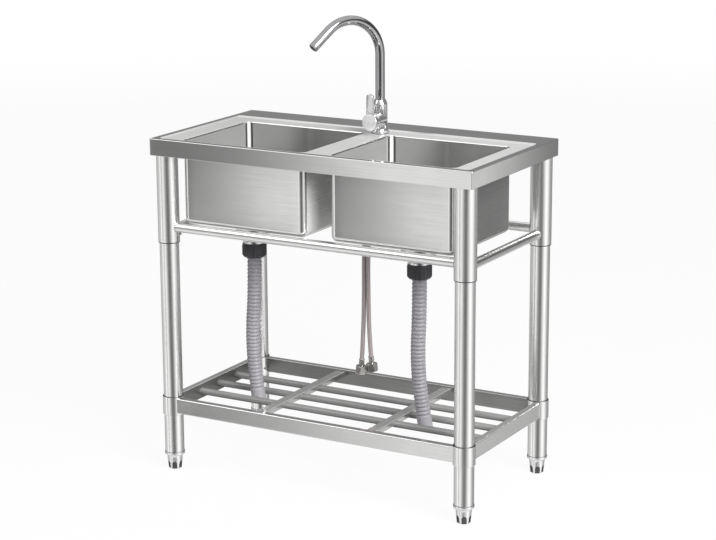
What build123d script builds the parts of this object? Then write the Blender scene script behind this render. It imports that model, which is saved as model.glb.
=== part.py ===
from build123d import *
import os
from math import atan2, cos, degrees, radians, sin, tan

# A free-standing stainless sink unit with two bowls, a slatted shelf and a gooseneck mixer.
# Millimetres, +Z up, front towards -Y. Origin: on the floor, under the middle of the deck.

# ---------------------------------------------------------------- driving dimensions: top
WIDTH = 820.0             # deck, left to right
DEPTH = 435.0             # deck, front to back
DECK_TOP = 790.0          # top of the raised rim
APRON = 39.0              # height of the deck's turned-down edge
SHEET = 1.2               # sheet of the deck, bowls and tubes
DECK_CORNER = 6.0         # plan radius of the deck's corners
RIM = 15.0                # raised rim at the front, left and right
BACK_LEDGE = 79.0         # raised ledge behind the bowls
RECESS = 3.0              # step from the rim down to the field
STEP_SLOPE = 3.0          # width of the pressed step
FIELD_CORNER = (6.0, 10.0)  # plan radius of the field, at the step's foot and top
HEM = 10.0                # folded-back lower edge of the apron

BOWL_Y = (-185.0, 92.0)   # front and back inside faces of both bowls
LEFT_BOWL_X = (-341.0, -21.0)
RIGHT_BOWL_X = (45.0, 351.0)
BOWL_FLOOR = 593.2        # upper face of the bowls' floors
BOWL_CORNER = 10.0        # inside radius of the upright corners
FLOOR_EDGE_EASE = 0.5     # the floor's edge radius is this much smaller than the corners'
BOWL_FLANGE = 6.0         # weld flange under the deck
DRAIN_DIP = 2.5           # pressed dip that seats the strainer
DIP_ROOM = 2.0            # radial room in the dip round the strainer's flange
DRAIN_HOLE_ROOM = 1.0     # radial room in the bowl's hole round the strainer cup

# ---------------------------------------------------------------- driving dimensions: frame and shelf
LEG_INSET_X = 29.0        # leg axis in from the deck's side
LEG_INSET_Y = 28.0        # leg axis in from the deck's front or back
LEG_R = 22.5
SLEEVE_R = 25.0
SLEEVE_BORE_R = 22.65
SLEEVE_FOOT = 547.0       # lower end of the upper sleeves
LEG_PLUG = 60.0           # how far a leg goes up into its sleeve
LEG_FOOT = 43.0           # lower end of the leg tubes
COLLAR_Z = (134.0, 179.0)
END_BREAK = 0.8           # chamfer on the open ends of sleeves and collars

UPPER_RAIL_R = 11.0
UPPER_LONG_Z = 583.0      # front and back upper rails
UPPER_SIDE_Z = 574.0      # left and right upper rails

SHELF_RAIL_Z = (139.0, 175.0)
SHELF_RAIL_W = 18.0
SHELF_RAIL_OUT = 15.0     # outer face of a shelf rail, out from the leg axes
SHELF_RAIL_FOLD = 2.5     # outside radius of the folded corners
SLAT_R = 8.0
SLAT_WALL = 1.0
SLAT_Z = 158.0
SLAT_PITCH = 77.0
SLAT_ROWS = (-1, 0, 1)
STRAP_X = 145.0
STRAP_W = 25.0
STRAP_Z = (160.0, 172.0)
STRAP_SHEET = 1.5
STRAP_FOLD = 2.0          # outside radius of the strap's folds

SCREW_R = 3.0
SCREW_LENGTH = 6.0
SLEEVE_SCREW_Z = 566.0
COLLAR_SCREW_Z = 150.0

# ---------------------------------------------------------------- driving dimensions: feet
FOOT_TOP = 35.0           # underside of the foot's flange
FOOT_FLANGE_R = 23.5
FOOT_BEVEL = 1.5          # bevel under the flange
FOOT_BODY_R = (15.0, 18.0)  # at the floor and under the flange
FOOT_NECK = 6.0           # straight neck between the tapered body and the flange
FLUTES = 6
FLUTE_W = 9.5
FLUTE_Z = (2.0, 22.0)
FLUTE_DEPTH = 2.6
STUD_R = 5.0
STUD_TOP = 82.0
STUD_POINT = 1.0
INSERT_Z = (44.0, 62.0)
INSERT_GAP = 0.1          # radial gap between an insert and its leg tube
RUNNING = 0.05            # radial clearance of the turning and sliding fits

# ---------------------------------------------------------------- driving dimensions: drains
LEFT_DRAIN = (-232.0, -60.0)
RIGHT_DRAIN = (202.0, -60.0)
CUP_FLANGE_R = 55.0
CUP_FLANGE_T = (1.0, 1.4)  # thickness at the outer edge and at the mouth
CUP_R = 42.0
CUP_WALL = 1.5
CUP_BEVEL = 6.0
CUP_FLOOR = 556.0         # underside of the strainer cup
NECK_R = 22.0
NECK_WALL = 3.0
NECK_FOOT = 518.0
NECK_RING_R = 26.0
NECK_RING_Z = (536.0, 541.0)  # bright ring above the coupling nut
BASKET_R = 39.0
BASKET_WALL = 1.0
BASKET_BEVEL = 5.0
BASKET_LIFT = 14.0        # basket floor above the underside of the cup
BASKET_RIM_R = 46.0
KNOB_R = (4.0, 3.0, 8.0)  # foot, waist and head of the finger knob
KNOB_Z = (16.0, 19.0, 23.0)  # waist, underside and top of the head, above the basket floor
HOLE_RINGS = ((14.0, 8), (25.0, 16))  # radius and count of the basket's holes
HOLE_R = 3.0
GASKET_R = 53.0
GASKET_T = 2.0
LOCK_R = 48.0
LOCK_FLANGE_R = 52.0
LOCK_HEIGHT = 12.0
LOCK_FLANGE_T = 3.0
LOCK_GAP = 0.2            # radial gap between the cup and what goes round it
LUGS = 6
LUG = (7.0, 9.0)          # radial depth and width of a lug
COUPLING_R = 27.0
COUPLING_Z = (502.0, 536.0)
COUPLING_BEVEL = 3.0
COUPLING_RIBS = 20
COUPLING_RIB = (2.6, 3.2)  # radial depth and width of a rib
COUPLING_RIB_END = 4.0    # a rib stops this far from the nut's ends
HOSE_R = 17.0
HOSE_GAP = 0.4            # radial gap between the hose and the coupling nut's neck
HOSE_GROOVE_R = 15.4
HOSE_BORE_R = 13.6
HOSE_RIB_PITCH = 9.0
HOSE_RIB_STEPS = (0.0, 0.46, 0.64, 0.82)  # rib start, rib end, groove start, groove end, in pitches
HOSE_CUFF = 30.0          # plain free end of the hose
HOSE_NECK = 16.0          # plain end at the coupling nut
HOSE_FLANGE_R = 21.4
HOSE_FLANGE_T = 3.0
HOSE_TOP = 514.0

# ---------------------------------------------------------------- driving dimensions: mixer
TAP_X, TAP_Y = 12.0, 104.0
TAP_SEAT = DECK_TOP - RECESS
TAP_GASKET_R = 20.0
TAP_GASKET_T = 1.5
TAP_FLANGE_R = 21.0
TAP_FLARE_Z = (4.0, 7.5, 14.0)  # top of the flange, middle and top of the flare, above the deck
TAP_FLARE_SAG = 1.3       # how far the flare's middle stands out from the body
TAP_BODY_R = 16.8
TAP_BODY_TOP = 853.0
TAP_COLLAR_TOP = 865.0
TAP_COLLAR_BAND = 3.0     # straight band below the collar's taper
TAP_COLLAR_R = 13.2       # upper end of the taper
TAP_HOLE_R = 17.0
SHANK_R = 16.0
SHANK_BORE_R = 12.5
SHANK_Z = (745.0, 797.0)
WASHER_R = 26.0
WASHER_T = 2.5
LOCKNUT_FLATS = 46.0
LOCKNUT_HEIGHT = 11.0
SPOUT_R = 11.0
SPOUT_WALL = 1.5
SPOUT_FOOT_R = 13.4
SPOUT_FOOT_Z = (834.0, 845.5)
SPOUT_HEADING = -117.0    # degrees from +X, as photographed, towards the left bowl
SPOUT_BEND_R = 84.0
SPOUT_BEND_Z = 968.5      # where the straight riser ends and the bend starts
SPOUT_BEND = 130.0        # degrees of bend
SPOUT_TAIL = 55.0         # straight end of the spout
O_RING_R = 1.05
O_RING_Z = (837.0, 842.0)
GROOVE_W = 2.4
AERATOR_INSET = 8.0       # screen end of the aerator, in from the spout's end
AERATOR_LENGTH = 9.0
AERATOR_WALL = 1.6
AERATOR_BAR = 1.0
AERATOR_PITCH = 4.2

BARREL_Z = 818.0          # axis of the cartridge and the handle
BARREL_R = 18.2
BARREL_MOUTH_Y = 78.0
PIVOT_Y = 74.0            # tilting axis of the lever
CARTRIDGE_R = 13.0
CARTRIDGE_Y = (80.0, 98.0)
TURNTABLE_R = 9.0
TURNTABLE_Y = (69.0, 90.0)
FORK_SLOT = 7.4
FORK_DEPTH = 9.0          # fork slot behind the pin
STEM_W = 7.0
STEM_TAIL = 5.0           # stem behind the pin
PIVOT_PIN_R = 1.5
COVER_BORE_R = 11.0
DOME_TURNS = (0.0, 16.0, 32.0, 48.76)  # degrees from the mid plane to each ring of the dome
CAP_R = 19.3
CAP_Y = (52.0, 65.0)
CAP_EDGE = 2.0
CAP_HOLLOW = ((0.0, 55.4), (9.5, 55.4), (17.0, 65.0))  # radius and Y; clears the dome when tilted
STEM_SEAT = 2.0           # the stem's end, in from the cap's front
LEVER_W = 18.0
LEVER_T = 6.5
LEVER_SET = 1.0           # the lever's face, in from the cap's front
LEVER_EDGE = 2.0
LEVER_TOP = 884.0

SUPPLY_R = 5.2
FERRULE_R = 6.8
FERRULE_LENGTH = 20.0
FERRULE_COLLAR = (8.7, 3.0)  # radius and thickness
UNION_FLATS = 24.0        # across flats of the union nuts
UNION_BORE_R = 9.3        # wall of the G1/2 female thread
UNION_THREAD = 12.5       # its depth
UNION_SEAT = (8.9, 3.5)   # radius and depth of the seat round the ferrule's collar
UNION_LIP = 4.0           # inner lip that draws on the ferrule's collar

# Routes of the free hoses, from the fixed end to the free one.
LEFT_DRAIN_ROUTE = [
    (-232.0, -60.0, 514.0), (-232.0, -60.0, 420.0), (-246.0, -52.0, 318.0),
    (-247.0, -43.0, 218.0), (-237.0, -42.0, 146.0)]
RIGHT_DRAIN_ROUTE = [
    (202.0, -60.0, 514.0), (202.0, -60.0, 420.0), (194.0, -54.0, 322.0),
    (195.0, -44.0, 232.0), (209.0, -42.0, 146.0)]
COLD_ROUTE = [
    (6.4, 104.0, 797.0), (6.4, 104.0, 705.0), (-27.0, 107.0, 612.0), (-35.0, 108.0, 500.0),
    (-34.0, 107.0, 395.0), (-36.0, 105.0, 300.0), (-39.5, 104.0, 238.0)]
HOT_ROUTE = [
    (17.6, 104.0, 797.0), (17.6, 104.0, 705.0), (-15.0, 108.0, 612.0), (-24.0, 108.0, 500.0),
    (-23.0, 107.0, 395.0), (-20.0, 105.0, 305.0), (-14.5, 104.0, 248.0)]

# ---------------------------------------------------------------- derived sizes
LEG_X = WIDTH / 2 - LEG_INSET_X
LEG_Y = DEPTH / 2 - LEG_INSET_Y
CORNERS = {"front_left": (-LEG_X, -LEG_Y), "front_right": (LEG_X, -LEG_Y),
           "back_left": (-LEG_X, LEG_Y), "back_right": (LEG_X, LEG_Y)}
RIM_UNDER = DECK_TOP - SHEET
FIELD_UNDER = RIM_UNDER - RECESS
DIP_TOP = BOWL_FLOOR - DRAIN_DIP
DIP_UNDER = DIP_TOP - SHEET
DIP_R = CUP_FLANGE_R + DIP_ROOM
CUP_LIP = DIP_TOP + CUP_FLANGE_T[1]             # top of the strainer's mouth
SHELF_RAIL_IN = SHELF_RAIL_W - SHELF_RAIL_OUT   # inner face, in from the leg axes
UP = (Align.CENTER, Align.CENTER, Align.MIN)
OVER = 1.0                                      # how far a cut runs past the face it opens


# ---------------------------------------------------------------- shared shapes
def rod(radius, z_from, z_to, at=(0.0, 0.0)):
    """A solid upright cylinder."""
    return Pos(at[0], at[1], z_from) * Cylinder(radius, z_to - z_from, align=UP)


def pipe(outer, inner, z_from, z_to, at=(0.0, 0.0)):
    """An upright tube with open ends."""
    return rod(outer, z_from, z_to, at) - rod(inner, z_from - OVER, z_to + OVER, at)


def rod_x(radius, x_from, x_to, y, z):
    """A solid cylinder along X."""
    return Pos(x_from, y, z) * Rot(0, 90, 0) * Cylinder(radius, x_to - x_from, align=UP)


def rod_y(radius, y_from, y_to, x, z):
    """A solid cylinder along Y."""
    return Pos(x, y_from, z) * Rot(-90, 0, 0) * Cylinder(radius, y_to - y_from, align=UP)


def block(x, y, z):
    """A box between two values on each axis."""
    size = (x[1] - x[0], y[1] - y[0], z[1] - z[0])
    return Pos(x[0], y[0], z[0]) * Box(*size, align=(Align.MIN, Align.MIN, Align.MIN))


def slab(x, y, radius, z_from, z_to):
    """A plate with rounded plan corners."""
    plan = RectangleRounded(x[1] - x[0], y[1] - y[0], radius)
    centre = Pos((x[0] + x[1]) / 2, (y[0] + y[1]) / 2, z_from)
    return centre * extrude(plan, z_to - z_from)


def turned(points, at=(0.0, 0.0)):
    """A solid of revolution about an upright axis, from (radius, height) points."""
    outline = make_face(Plane.XZ * Polyline(*points, close=True))
    return Pos(at[0], at[1], 0) * revolve(outline, Axis.Z)


def turned_y(points):
    """A solid of revolution about the cartridge's axis, from (radius, Y) points."""
    outline = make_face(Polyline(*points, close=True))
    return Pos(TAP_X, 0, BARREL_Z) * revolve(outline, Axis.Y)


def spaced(count):
    """Headings in degrees of a ring of equal steps."""
    return [360 * i / count for i in range(count)]


def route_radii(points):
    """The bend radius at each corner of a hose route: as large as its two runs allow."""
    corners = [Vector(*p) for p in points]
    radii = []
    for before, here, after in zip(corners, corners[1:], corners[2:]):
        turn = radians((here - before).get_angle(after - here))
        shorter = min((here - before).length, (after - here).length)
        radii.append(0.45 * shorter / tan(turn / 2))
    return radii


def route_wire(points):
    """Straight runs joined by tangent arcs."""
    return FilletPolyline(*points, radius=route_radii(points))


def section_plane(wire, distance):
    """The plane square to a hose at a distance along it, its X axis held steady."""
    place = wire.position_at(distance, position_mode=PositionMode.LENGTH)
    along = wire.tangent_at(distance, position_mode=PositionMode.LENGTH)
    return Plane(origin=place, x_dir=Vector(0, 1, 0).cross(along), z_dir=along)


# ---------------------------------------------------------------- top
def deck():
    """Pressed top: raised rim and back ledge, recessed field, apron with a hem."""
    half_w, half_d = WIDTH / 2, DEPTH / 2
    x, y = (-half_w, half_w), (-half_d, half_d)
    bottom = DECK_TOP - APRON
    shell = slab(x, y, DECK_CORNER, bottom, DECK_TOP)
    rim_edges = shell.faces().sort_by(Axis.Z)[-1].edges()
    shell = fillet(rim_edges, SHEET)
    inside_x = (x[0] + SHEET, x[1] - SHEET)
    inside_y = (y[0] + SHEET, y[1] - SHEET)
    shell -= slab(inside_x, inside_y, DECK_CORNER - SHEET, bottom - OVER, RIM_UNDER)
    hem = slab(inside_x, inside_y, DECK_CORNER - SHEET, bottom, bottom + HEM)
    hem -= slab((inside_x[0] + SHEET, inside_x[1] - SHEET), (inside_y[0] + SHEET, inside_y[1] - SHEET),
                DECK_CORNER - 2 * SHEET, bottom - OVER, bottom + HEM + OVER)
    field_x = (x[0] + RIM, x[1] - RIM)
    field_y = (y[0] + RIM, y[1] - BACK_LEDGE)
    tray = slab((field_x[0] - SHEET, field_x[1] + SHEET), (field_y[0] - SHEET, field_y[1] + SHEET),
                DECK_CORNER, FIELD_UNDER, RIM_UNDER)
    top = shell + hem + tray - recess_cut(field_x, field_y)
    for bowl_x in (LEFT_BOWL_X, RIGHT_BOWL_X):
        top -= slab(bowl_x, BOWL_Y, BOWL_CORNER, FIELD_UNDER - OVER, DECK_TOP)
    return top - rod(TAP_HOLE_R, FIELD_UNDER - OVER, DECK_TOP, (TAP_X, TAP_Y))


def recess_cut(field_x, field_y):
    """The space above the field, with a sloping pressed edge."""
    width, depth = field_x[1] - field_x[0], field_y[1] - field_y[0]
    middle = ((field_x[0] + field_x[1]) / 2, (field_y[0] + field_y[1]) / 2)
    low = Pos(*middle, DECK_TOP - RECESS) * RectangleRounded(
        width - 2 * STEP_SLOPE, depth - 2 * STEP_SLOPE, FIELD_CORNER[0])
    spread = 2 * OVER * STEP_SLOPE / RECESS
    high = Pos(*middle, DECK_TOP + OVER) * RectangleRounded(width + spread, depth + spread, FIELD_CORNER[1])
    return loft([low, high], ruled=True)


def bowl(x, drain):
    """Pressed bowl with rounded corners, a weld flange and a dip round the drain."""
    def hollow(grow, floor, top):
        """A rounded box, the bowl's inside shape or, grown by its sheet, the outside."""
        corner = BOWL_CORNER + grow
        body = slab((x[0] - grow, x[1] + grow), (BOWL_Y[0] - grow, BOWL_Y[1] + grow), corner, floor, top)
        return fillet(body.faces().sort_by(Axis.Z)[0].edges(), corner - FLOOR_EDGE_EASE)

    outside = hollow(SHEET, BOWL_FLOOR - SHEET, FIELD_UNDER)
    flange = slab((x[0] - BOWL_FLANGE, x[1] + BOWL_FLANGE), (BOWL_Y[0] - BOWL_FLANGE, BOWL_Y[1] + BOWL_FLANGE),
                  BOWL_CORNER + BOWL_FLANGE, FIELD_UNDER - SHEET, FIELD_UNDER)
    dip = rod(DIP_R + SHEET, DIP_UNDER, BOWL_FLOOR - SHEET, drain)
    shell = outside + flange + dip - hollow(0.0, BOWL_FLOOR, FIELD_UNDER + OVER)
    shell -= rod(DIP_R, DIP_TOP, BOWL_FLOOR + OVER, drain)
    return shell - rod(CUP_R + DRAIN_HOLE_ROOM, DIP_UNDER - OVER, DIP_TOP + OVER, drain)


# ---------------------------------------------------------------- frame
def inward_screw(at, z):
    """Direction and place of a set screw: it enters on the side that faces the unit's middle."""
    heading = degrees(atan2(-at[1], -at[0]))
    return Pos(at[0], at[1], z) * Rot(0, 0, heading) * Rot(0, 90, 0)


def set_screw(at, z):
    """A short set screw that bears on the leg tube."""
    return inward_screw(at, z) * Pos(0, 0, LEG_R) * Cylinder(SCREW_R - RUNNING, SCREW_LENGTH, align=UP)


def sleeve(at):
    """Upper sleeve, from the deck's underside down past the upper rails."""
    top = FIELD_UNDER if at[1] < 0 else RIM_UNDER
    tube = pipe(SLEEVE_R, SLEEVE_BORE_R, SLEEVE_FOOT, top, at)
    tube = chamfer(tube.faces().sort_by(Axis.Z)[0].outer_wire().edges(), END_BREAK)
    return tube - inward_screw(at, SLEEVE_SCREW_Z) * Cylinder(SCREW_R, 2 * SLEEVE_R, align=UP)


def collar(at):
    """Short sleeve that clamps the shelf frame to a leg."""
    ring = pipe(SLEEVE_R, SLEEVE_BORE_R, *COLLAR_Z, at)
    ends = [ring.faces().sort_by(Axis.Z)[i].outer_wire().edges() for i in (0, -1)]
    ring = chamfer(ends[0] + ends[1], END_BREAK)
    return ring - inward_screw(at, COLLAR_SCREW_Z) * Cylinder(SCREW_R, 2 * SLEEVE_R, align=UP)


def leg(at):
    """Leg tube, plugged into its sleeve."""
    return pipe(LEG_R, LEG_R - SHEET, LEG_FOOT, SLEEVE_FOOT + LEG_PLUG, at)


def notches():
    """Cylinders on the four leg axes, which the rails are notched to fit."""
    return [rod(SLEEVE_R, 0, DECK_TOP, at) for at in CORNERS.values()]


def upper_rail_long(y):
    """Round rail between two sleeves, left to right."""
    rail = rod_x(UPPER_RAIL_R, -LEG_X, LEG_X, y, UPPER_LONG_Z)
    rail -= rod_x(UPPER_RAIL_R - SHEET, -WIDTH, WIDTH, y, UPPER_LONG_Z)
    return rail - notches()


def upper_rail_side(x):
    """Round rail between two sleeves, front to back."""
    rail = rod_y(UPPER_RAIL_R, -LEG_Y, LEG_Y, x, UPPER_SIDE_Z)
    rail -= rod_y(UPPER_RAIL_R - SHEET, -WIDTH, WIDTH, x, UPPER_SIDE_Z)
    return rail - notches()


# ---------------------------------------------------------------- shelf
def shelf_rail_section():
    """Folded rectangular tube, upright."""
    height = SHELF_RAIL_Z[1] - SHELF_RAIL_Z[0]
    outer = RectangleRounded(SHELF_RAIL_W, height, SHELF_RAIL_FOLD)
    inner = RectangleRounded(SHELF_RAIL_W - 2 * SHEET, height - 2 * SHEET, SHELF_RAIL_FOLD - SHEET)
    return outer - inner


def shelf_rail_long(side):
    """Front (-1) or back (+1) rail, notched to its two collars."""
    y = side * (LEG_Y + SHELF_RAIL_OUT - SHELF_RAIL_W / 2)
    start = Plane(origin=(-LEG_X, y, sum(SHELF_RAIL_Z) / 2), x_dir=(0, 1, 0), z_dir=(1, 0, 0))
    return extrude(start * shelf_rail_section(), 2 * LEG_X) - notches()


def shelf_rail_side(side):
    """Left (-1) or right (+1) rail, notched to its two collars."""
    x = side * (LEG_X + SHELF_RAIL_OUT - SHELF_RAIL_W / 2)
    start = Plane(origin=(x, LEG_Y, sum(SHELF_RAIL_Z) / 2), x_dir=(1, 0, 0), z_dir=(0, -1, 0))
    return extrude(start * shelf_rail_section(), 2 * LEG_Y) - notches()


def slats():
    """Three round tubes between the side rails."""
    end = LEG_X - SHELF_RAIL_IN
    tubes = []
    for row in SLAT_ROWS:
        y = row * SLAT_PITCH
        bore = rod_x(SLAT_R - SLAT_WALL, -WIDTH, WIDTH, y, SLAT_Z)
        tubes.append(rod_x(SLAT_R, -end, end, y, SLAT_Z) - bore)
    return Compound(children=tubes)


def strap(x):
    """Inverted channel that lies across the slats, notched over each."""
    end = LEG_Y - SHELF_RAIL_IN
    side = STRAP_W / 2
    channel = block((x - side, x + side), (-end, end), STRAP_Z)
    top_edges = channel.edges().filter_by(Axis.Y).sort_by(Axis.Z)[-2:]
    channel = fillet(top_edges, STRAP_FOLD)
    channel -= block((x - side + STRAP_SHEET, x + side - STRAP_SHEET), (-end - OVER, end + OVER),
                     (STRAP_Z[0] - OVER, STRAP_Z[1] - STRAP_SHEET))
    for row in SLAT_ROWS:
        channel -= rod_x(SLAT_R + RUNNING, -WIDTH, WIDTH, row * SLAT_PITCH, SLAT_Z)
    return channel


# ---------------------------------------------------------------- feet
def foot(at):
    """Adjustable foot: flange under the leg, tapered body with arched flutes, threaded stud."""
    low, high = FOOT_BODY_R
    body = turned([(0, 0), (low, 0), (high, FOOT_TOP - FOOT_NECK), (high, FOOT_TOP),
                   (FOOT_FLANGE_R - FOOT_BEVEL, FOOT_TOP), (FOOT_FLANGE_R, FOOT_TOP + FOOT_BEVEL),
                   (FOOT_FLANGE_R, LEG_FOOT), (STUD_R, LEG_FOOT), (STUD_R, STUD_TOP - STUD_POINT),
                   (STUD_R - STUD_POINT, STUD_TOP), (0, STUD_TOP)], at)
    side = FLUTE_W / 2
    spring = FLUTE_Z[1] - side
    arch = Polyline((-side, spring), (-side, FLUTE_Z[0]), (side, FLUTE_Z[0]), (side, spring))
    arch += ThreePointArc((side, spring), (0, FLUTE_Z[1]), (-side, spring))
    for heading in spaced(FLUTES):
        facing = Pos(at[0], at[1], 0) * Rot(0, 0, heading + 180 / FLUTES)
        outline = facing * Plane(origin=(high - FLUTE_DEPTH, 0, 0), x_dir=(0, 1, 0), z_dir=(1, 0, 0))
        body -= extrude(outline * make_face(arch), 2 * FLUTE_DEPTH)
    return body


def foot_insert(at):
    """Plug in a leg tube, with the thread for the foot's stud."""
    return pipe(LEG_R - SHEET - INSERT_GAP, STUD_R + RUNNING, *INSERT_Z, at)


# ---------------------------------------------------------------- drains
def strainer_cup(at):
    """Flanged cup in the bowl's floor, with a threaded neck and a bright ring on it."""
    inside, bottom = CUP_R - CUP_WALL, CUP_FLOOR + CUP_WALL
    neck_bore = NECK_R - NECK_WALL
    profile = [(CUP_FLANGE_R, DIP_TOP), (CUP_FLANGE_R, DIP_TOP + CUP_FLANGE_T[0]), (CUP_R, CUP_LIP),
               (inside, DIP_TOP), (inside, bottom + CUP_BEVEL), (inside - CUP_BEVEL, bottom),
               (neck_bore, bottom), (neck_bore, NECK_FOOT), (NECK_R, NECK_FOOT),
               (NECK_R, NECK_RING_Z[0]), (NECK_RING_R, NECK_RING_Z[0]), (NECK_RING_R, NECK_RING_Z[1]),
               (NECK_R, NECK_RING_Z[1]), (NECK_R, CUP_FLOOR), (CUP_R - CUP_BEVEL, CUP_FLOOR),
               (CUP_R, CUP_FLOOR + CUP_BEVEL), (CUP_R, DIP_TOP)]
    return turned(profile, at)


def strainer_basket(at):
    """Lift-out basket: rim on the cup's mouth, pierced floor and a finger knob."""
    floor = CUP_FLOOR + BASKET_LIFT
    inside, foot_r = BASKET_R - BASKET_WALL, BASKET_R - BASKET_BEVEL
    knob_foot, knob_waist, knob_head = KNOB_R
    waist, under, top = (floor + z for z in KNOB_Z)
    profile = [(0, floor), (foot_r, floor), (BASKET_R, floor + BASKET_BEVEL), (BASKET_R, CUP_LIP),
               (BASKET_RIM_R, CUP_LIP), (BASKET_RIM_R, CUP_LIP + BASKET_WALL),
               (inside, CUP_LIP + BASKET_WALL), (inside, floor + BASKET_BEVEL),
               (foot_r, floor + BASKET_WALL), (knob_foot, floor + BASKET_WALL), (knob_waist, waist),
               (knob_head, under), (knob_head, top), (0, top)]
    basket = turned(profile, at)
    for ring_r, count in HOLE_RINGS:
        for heading in spaced(count):
            hole = Rot(0, 0, heading) * Pos(ring_r, 0, -OVER) * extrude(
                RegularPolygon(HOLE_R, 6), BASKET_WALL + 2 * OVER)
            basket -= Pos(at[0], at[1], floor) * hole
    return basket


def drain_gasket(at):
    """Seal between the bowl's underside and the locknut."""
    return pipe(GASKET_R, CUP_R + LOCK_GAP, DIP_UNDER - GASKET_T, DIP_UNDER, at)


def drain_locknut(at):
    """Large lugged ring that clamps the cup to the bowl."""
    top = DIP_UNDER - GASKET_T
    bottom = top - LOCK_HEIGHT
    bore = CUP_R + LOCK_GAP
    ring = pipe(LOCK_R, bore, bottom, top, at) + pipe(LOCK_FLANGE_R, bore, top - LOCK_FLANGE_T, top, at)
    for heading in spaced(LUGS):
        lug = Pos(LOCK_R, 0, 0) * Box(*LUG, LOCK_HEIGHT, align=UP)
        ring += Pos(at[0], at[1], bottom) * Rot(0, 0, heading) * lug
    return ring


def coupling_nut(at):
    """Ribbed nut that draws the hose flange up against the neck."""
    low, high = COUPLING_Z
    lip = HOSE_TOP - HOSE_FLANGE_T
    nut = turned([(HOSE_R + HOSE_GAP, low), (COUPLING_R - COUPLING_BEVEL, low),
                  (COUPLING_R, low + COUPLING_BEVEL), (COUPLING_R, high), (NECK_R + RUNNING, high),
                  (NECK_R + RUNNING, lip), (HOSE_R + HOSE_GAP, lip)], at)
    rib_height = high - low - 2 * COUPLING_RIB_END
    for heading in spaced(COUPLING_RIBS):
        rib = Pos(COUPLING_R, 0, 0) * Box(*COUPLING_RIB, rib_height, align=UP)
        nut += Pos(at[0], at[1], low + COUPLING_RIB_END) * Rot(0, 0, heading) * rib
    return nut


def hose_washer(at):
    """Rubber washer between the neck and the hose flange."""
    return pipe(NECK_R, HOSE_BORE_R, HOSE_TOP, NECK_FOOT, at)


def drain_hose(points):
    """Ribbed hose with its bore: a flange at the nut, ribs, and a plain cuff at the free end."""
    wire = route_wire(points)
    ribbed = wire.length - HOSE_CUFF - HOSE_NECK
    count = int(ribbed // HOSE_RIB_PITCH)
    pitch = ribbed / count
    stations = [(0.0, HOSE_R)]
    for i in range(count):
        for step, radius in zip(HOSE_RIB_STEPS, (HOSE_R, HOSE_R, HOSE_GROOVE_R, HOSE_GROOVE_R)):
            stations.append((HOSE_NECK + (i + step) * pitch, radius))
    stations += [(wire.length - HOSE_CUFF, HOSE_R), (wire.length, HOSE_R)]
    skin = loft([section_plane(wire, along) * Circle(radius) for along, radius in stations], ruled=True)
    skin += rod(HOSE_FLANGE_R, HOSE_TOP - HOSE_FLANGE_T, HOSE_TOP, points[0][:2])
    bore = sweep(section_plane(wire, 0) * Circle(HOSE_BORE_R), path=wire)
    return skin - bore


# ---------------------------------------------------------------- mixer
def tap_body():
    """Body with a flared base, an upright bore for the spout and a barrel for the cartridge."""
    bottom = TAP_SEAT + TAP_GASKET_T
    flange_top, flare_mid, flare_top = (TAP_SEAT + z for z in TAP_FLARE_Z)
    outline = Polyline((TAP_BODY_R, flare_top), (TAP_BODY_R, TAP_BODY_TOP), (0, TAP_BODY_TOP), (0, bottom),
                       (TAP_FLANGE_R, bottom), (TAP_FLANGE_R, flange_top))
    outline += ThreePointArc((TAP_FLANGE_R, flange_top), (TAP_BODY_R + TAP_FLARE_SAG, flare_mid),
                             (TAP_BODY_R, flare_top))
    body = Pos(TAP_X, TAP_Y, 0) * revolve(make_face(Plane.XZ * outline), Axis.Z)
    body += rod_y(BARREL_R, BARREL_MOUTH_Y, TAP_Y, TAP_X, BARREL_Z)
    body -= rod(SPOUT_FOOT_R + RUNNING, SPOUT_FOOT_Z[0] - OVER, TAP_BODY_TOP + OVER, (TAP_X, TAP_Y))
    body -= rod(SHANK_R + RUNNING, TAP_SEAT, SHANK_Z[1], (TAP_X, TAP_Y))
    return body - rod_y(CARTRIDGE_R + RUNNING, BARREL_MOUTH_Y - OVER, CARTRIDGE_Y[1], TAP_X, BARREL_Z)


def spout_wire():
    """Riser, bend and straight end of the spout, in its own upright plane."""
    heading = Vector(cos(radians(SPOUT_HEADING)), sin(radians(SPOUT_HEADING)), 0)
    plane = Plane(origin=(TAP_X, TAP_Y, 0), x_dir=heading, z_dir=heading.cross(Vector(0, 0, 1)))
    riser = Line((0, SPOUT_FOOT_Z[0]), (0, SPOUT_BEND_Z))
    bend = CenterArc((SPOUT_BEND_R, SPOUT_BEND_Z), SPOUT_BEND_R, 180, -SPOUT_BEND)
    tail = Line(bend @ 1, (bend @ 1) + (bend % 1) * SPOUT_TAIL)
    return (plane * (riser + bend + tail)).wire()


def spout():
    """Bent tube with a turned foot that carries two O-ring grooves."""
    wire = spout_wire()
    start = Plane(origin=wire @ 0, z_dir=wire % 0)
    tube = sweep(start * Circle(SPOUT_R), path=wire)
    tube += rod(SPOUT_FOOT_R, *SPOUT_FOOT_Z, (TAP_X, TAP_Y))
    tube -= sweep(start * Circle(SPOUT_R - SPOUT_WALL), path=wire)
    for z in O_RING_Z:
        tube -= pipe(SPOUT_FOOT_R + OVER, SPOUT_FOOT_R - 2 * O_RING_R, z - GROOVE_W / 2, z + GROOVE_W / 2,
                     (TAP_X, TAP_Y))
    return tube


def o_ring(z):
    """Seal in a groove of the spout's foot, its round section drawn with eight sides."""
    outline = Plane.XZ * Pos(SPOUT_FOOT_R - O_RING_R, z) * RegularPolygon(O_RING_R - RUNNING, 8)
    return Pos(TAP_X, TAP_Y, 0) * revolve(outline, Axis.Z)


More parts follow.
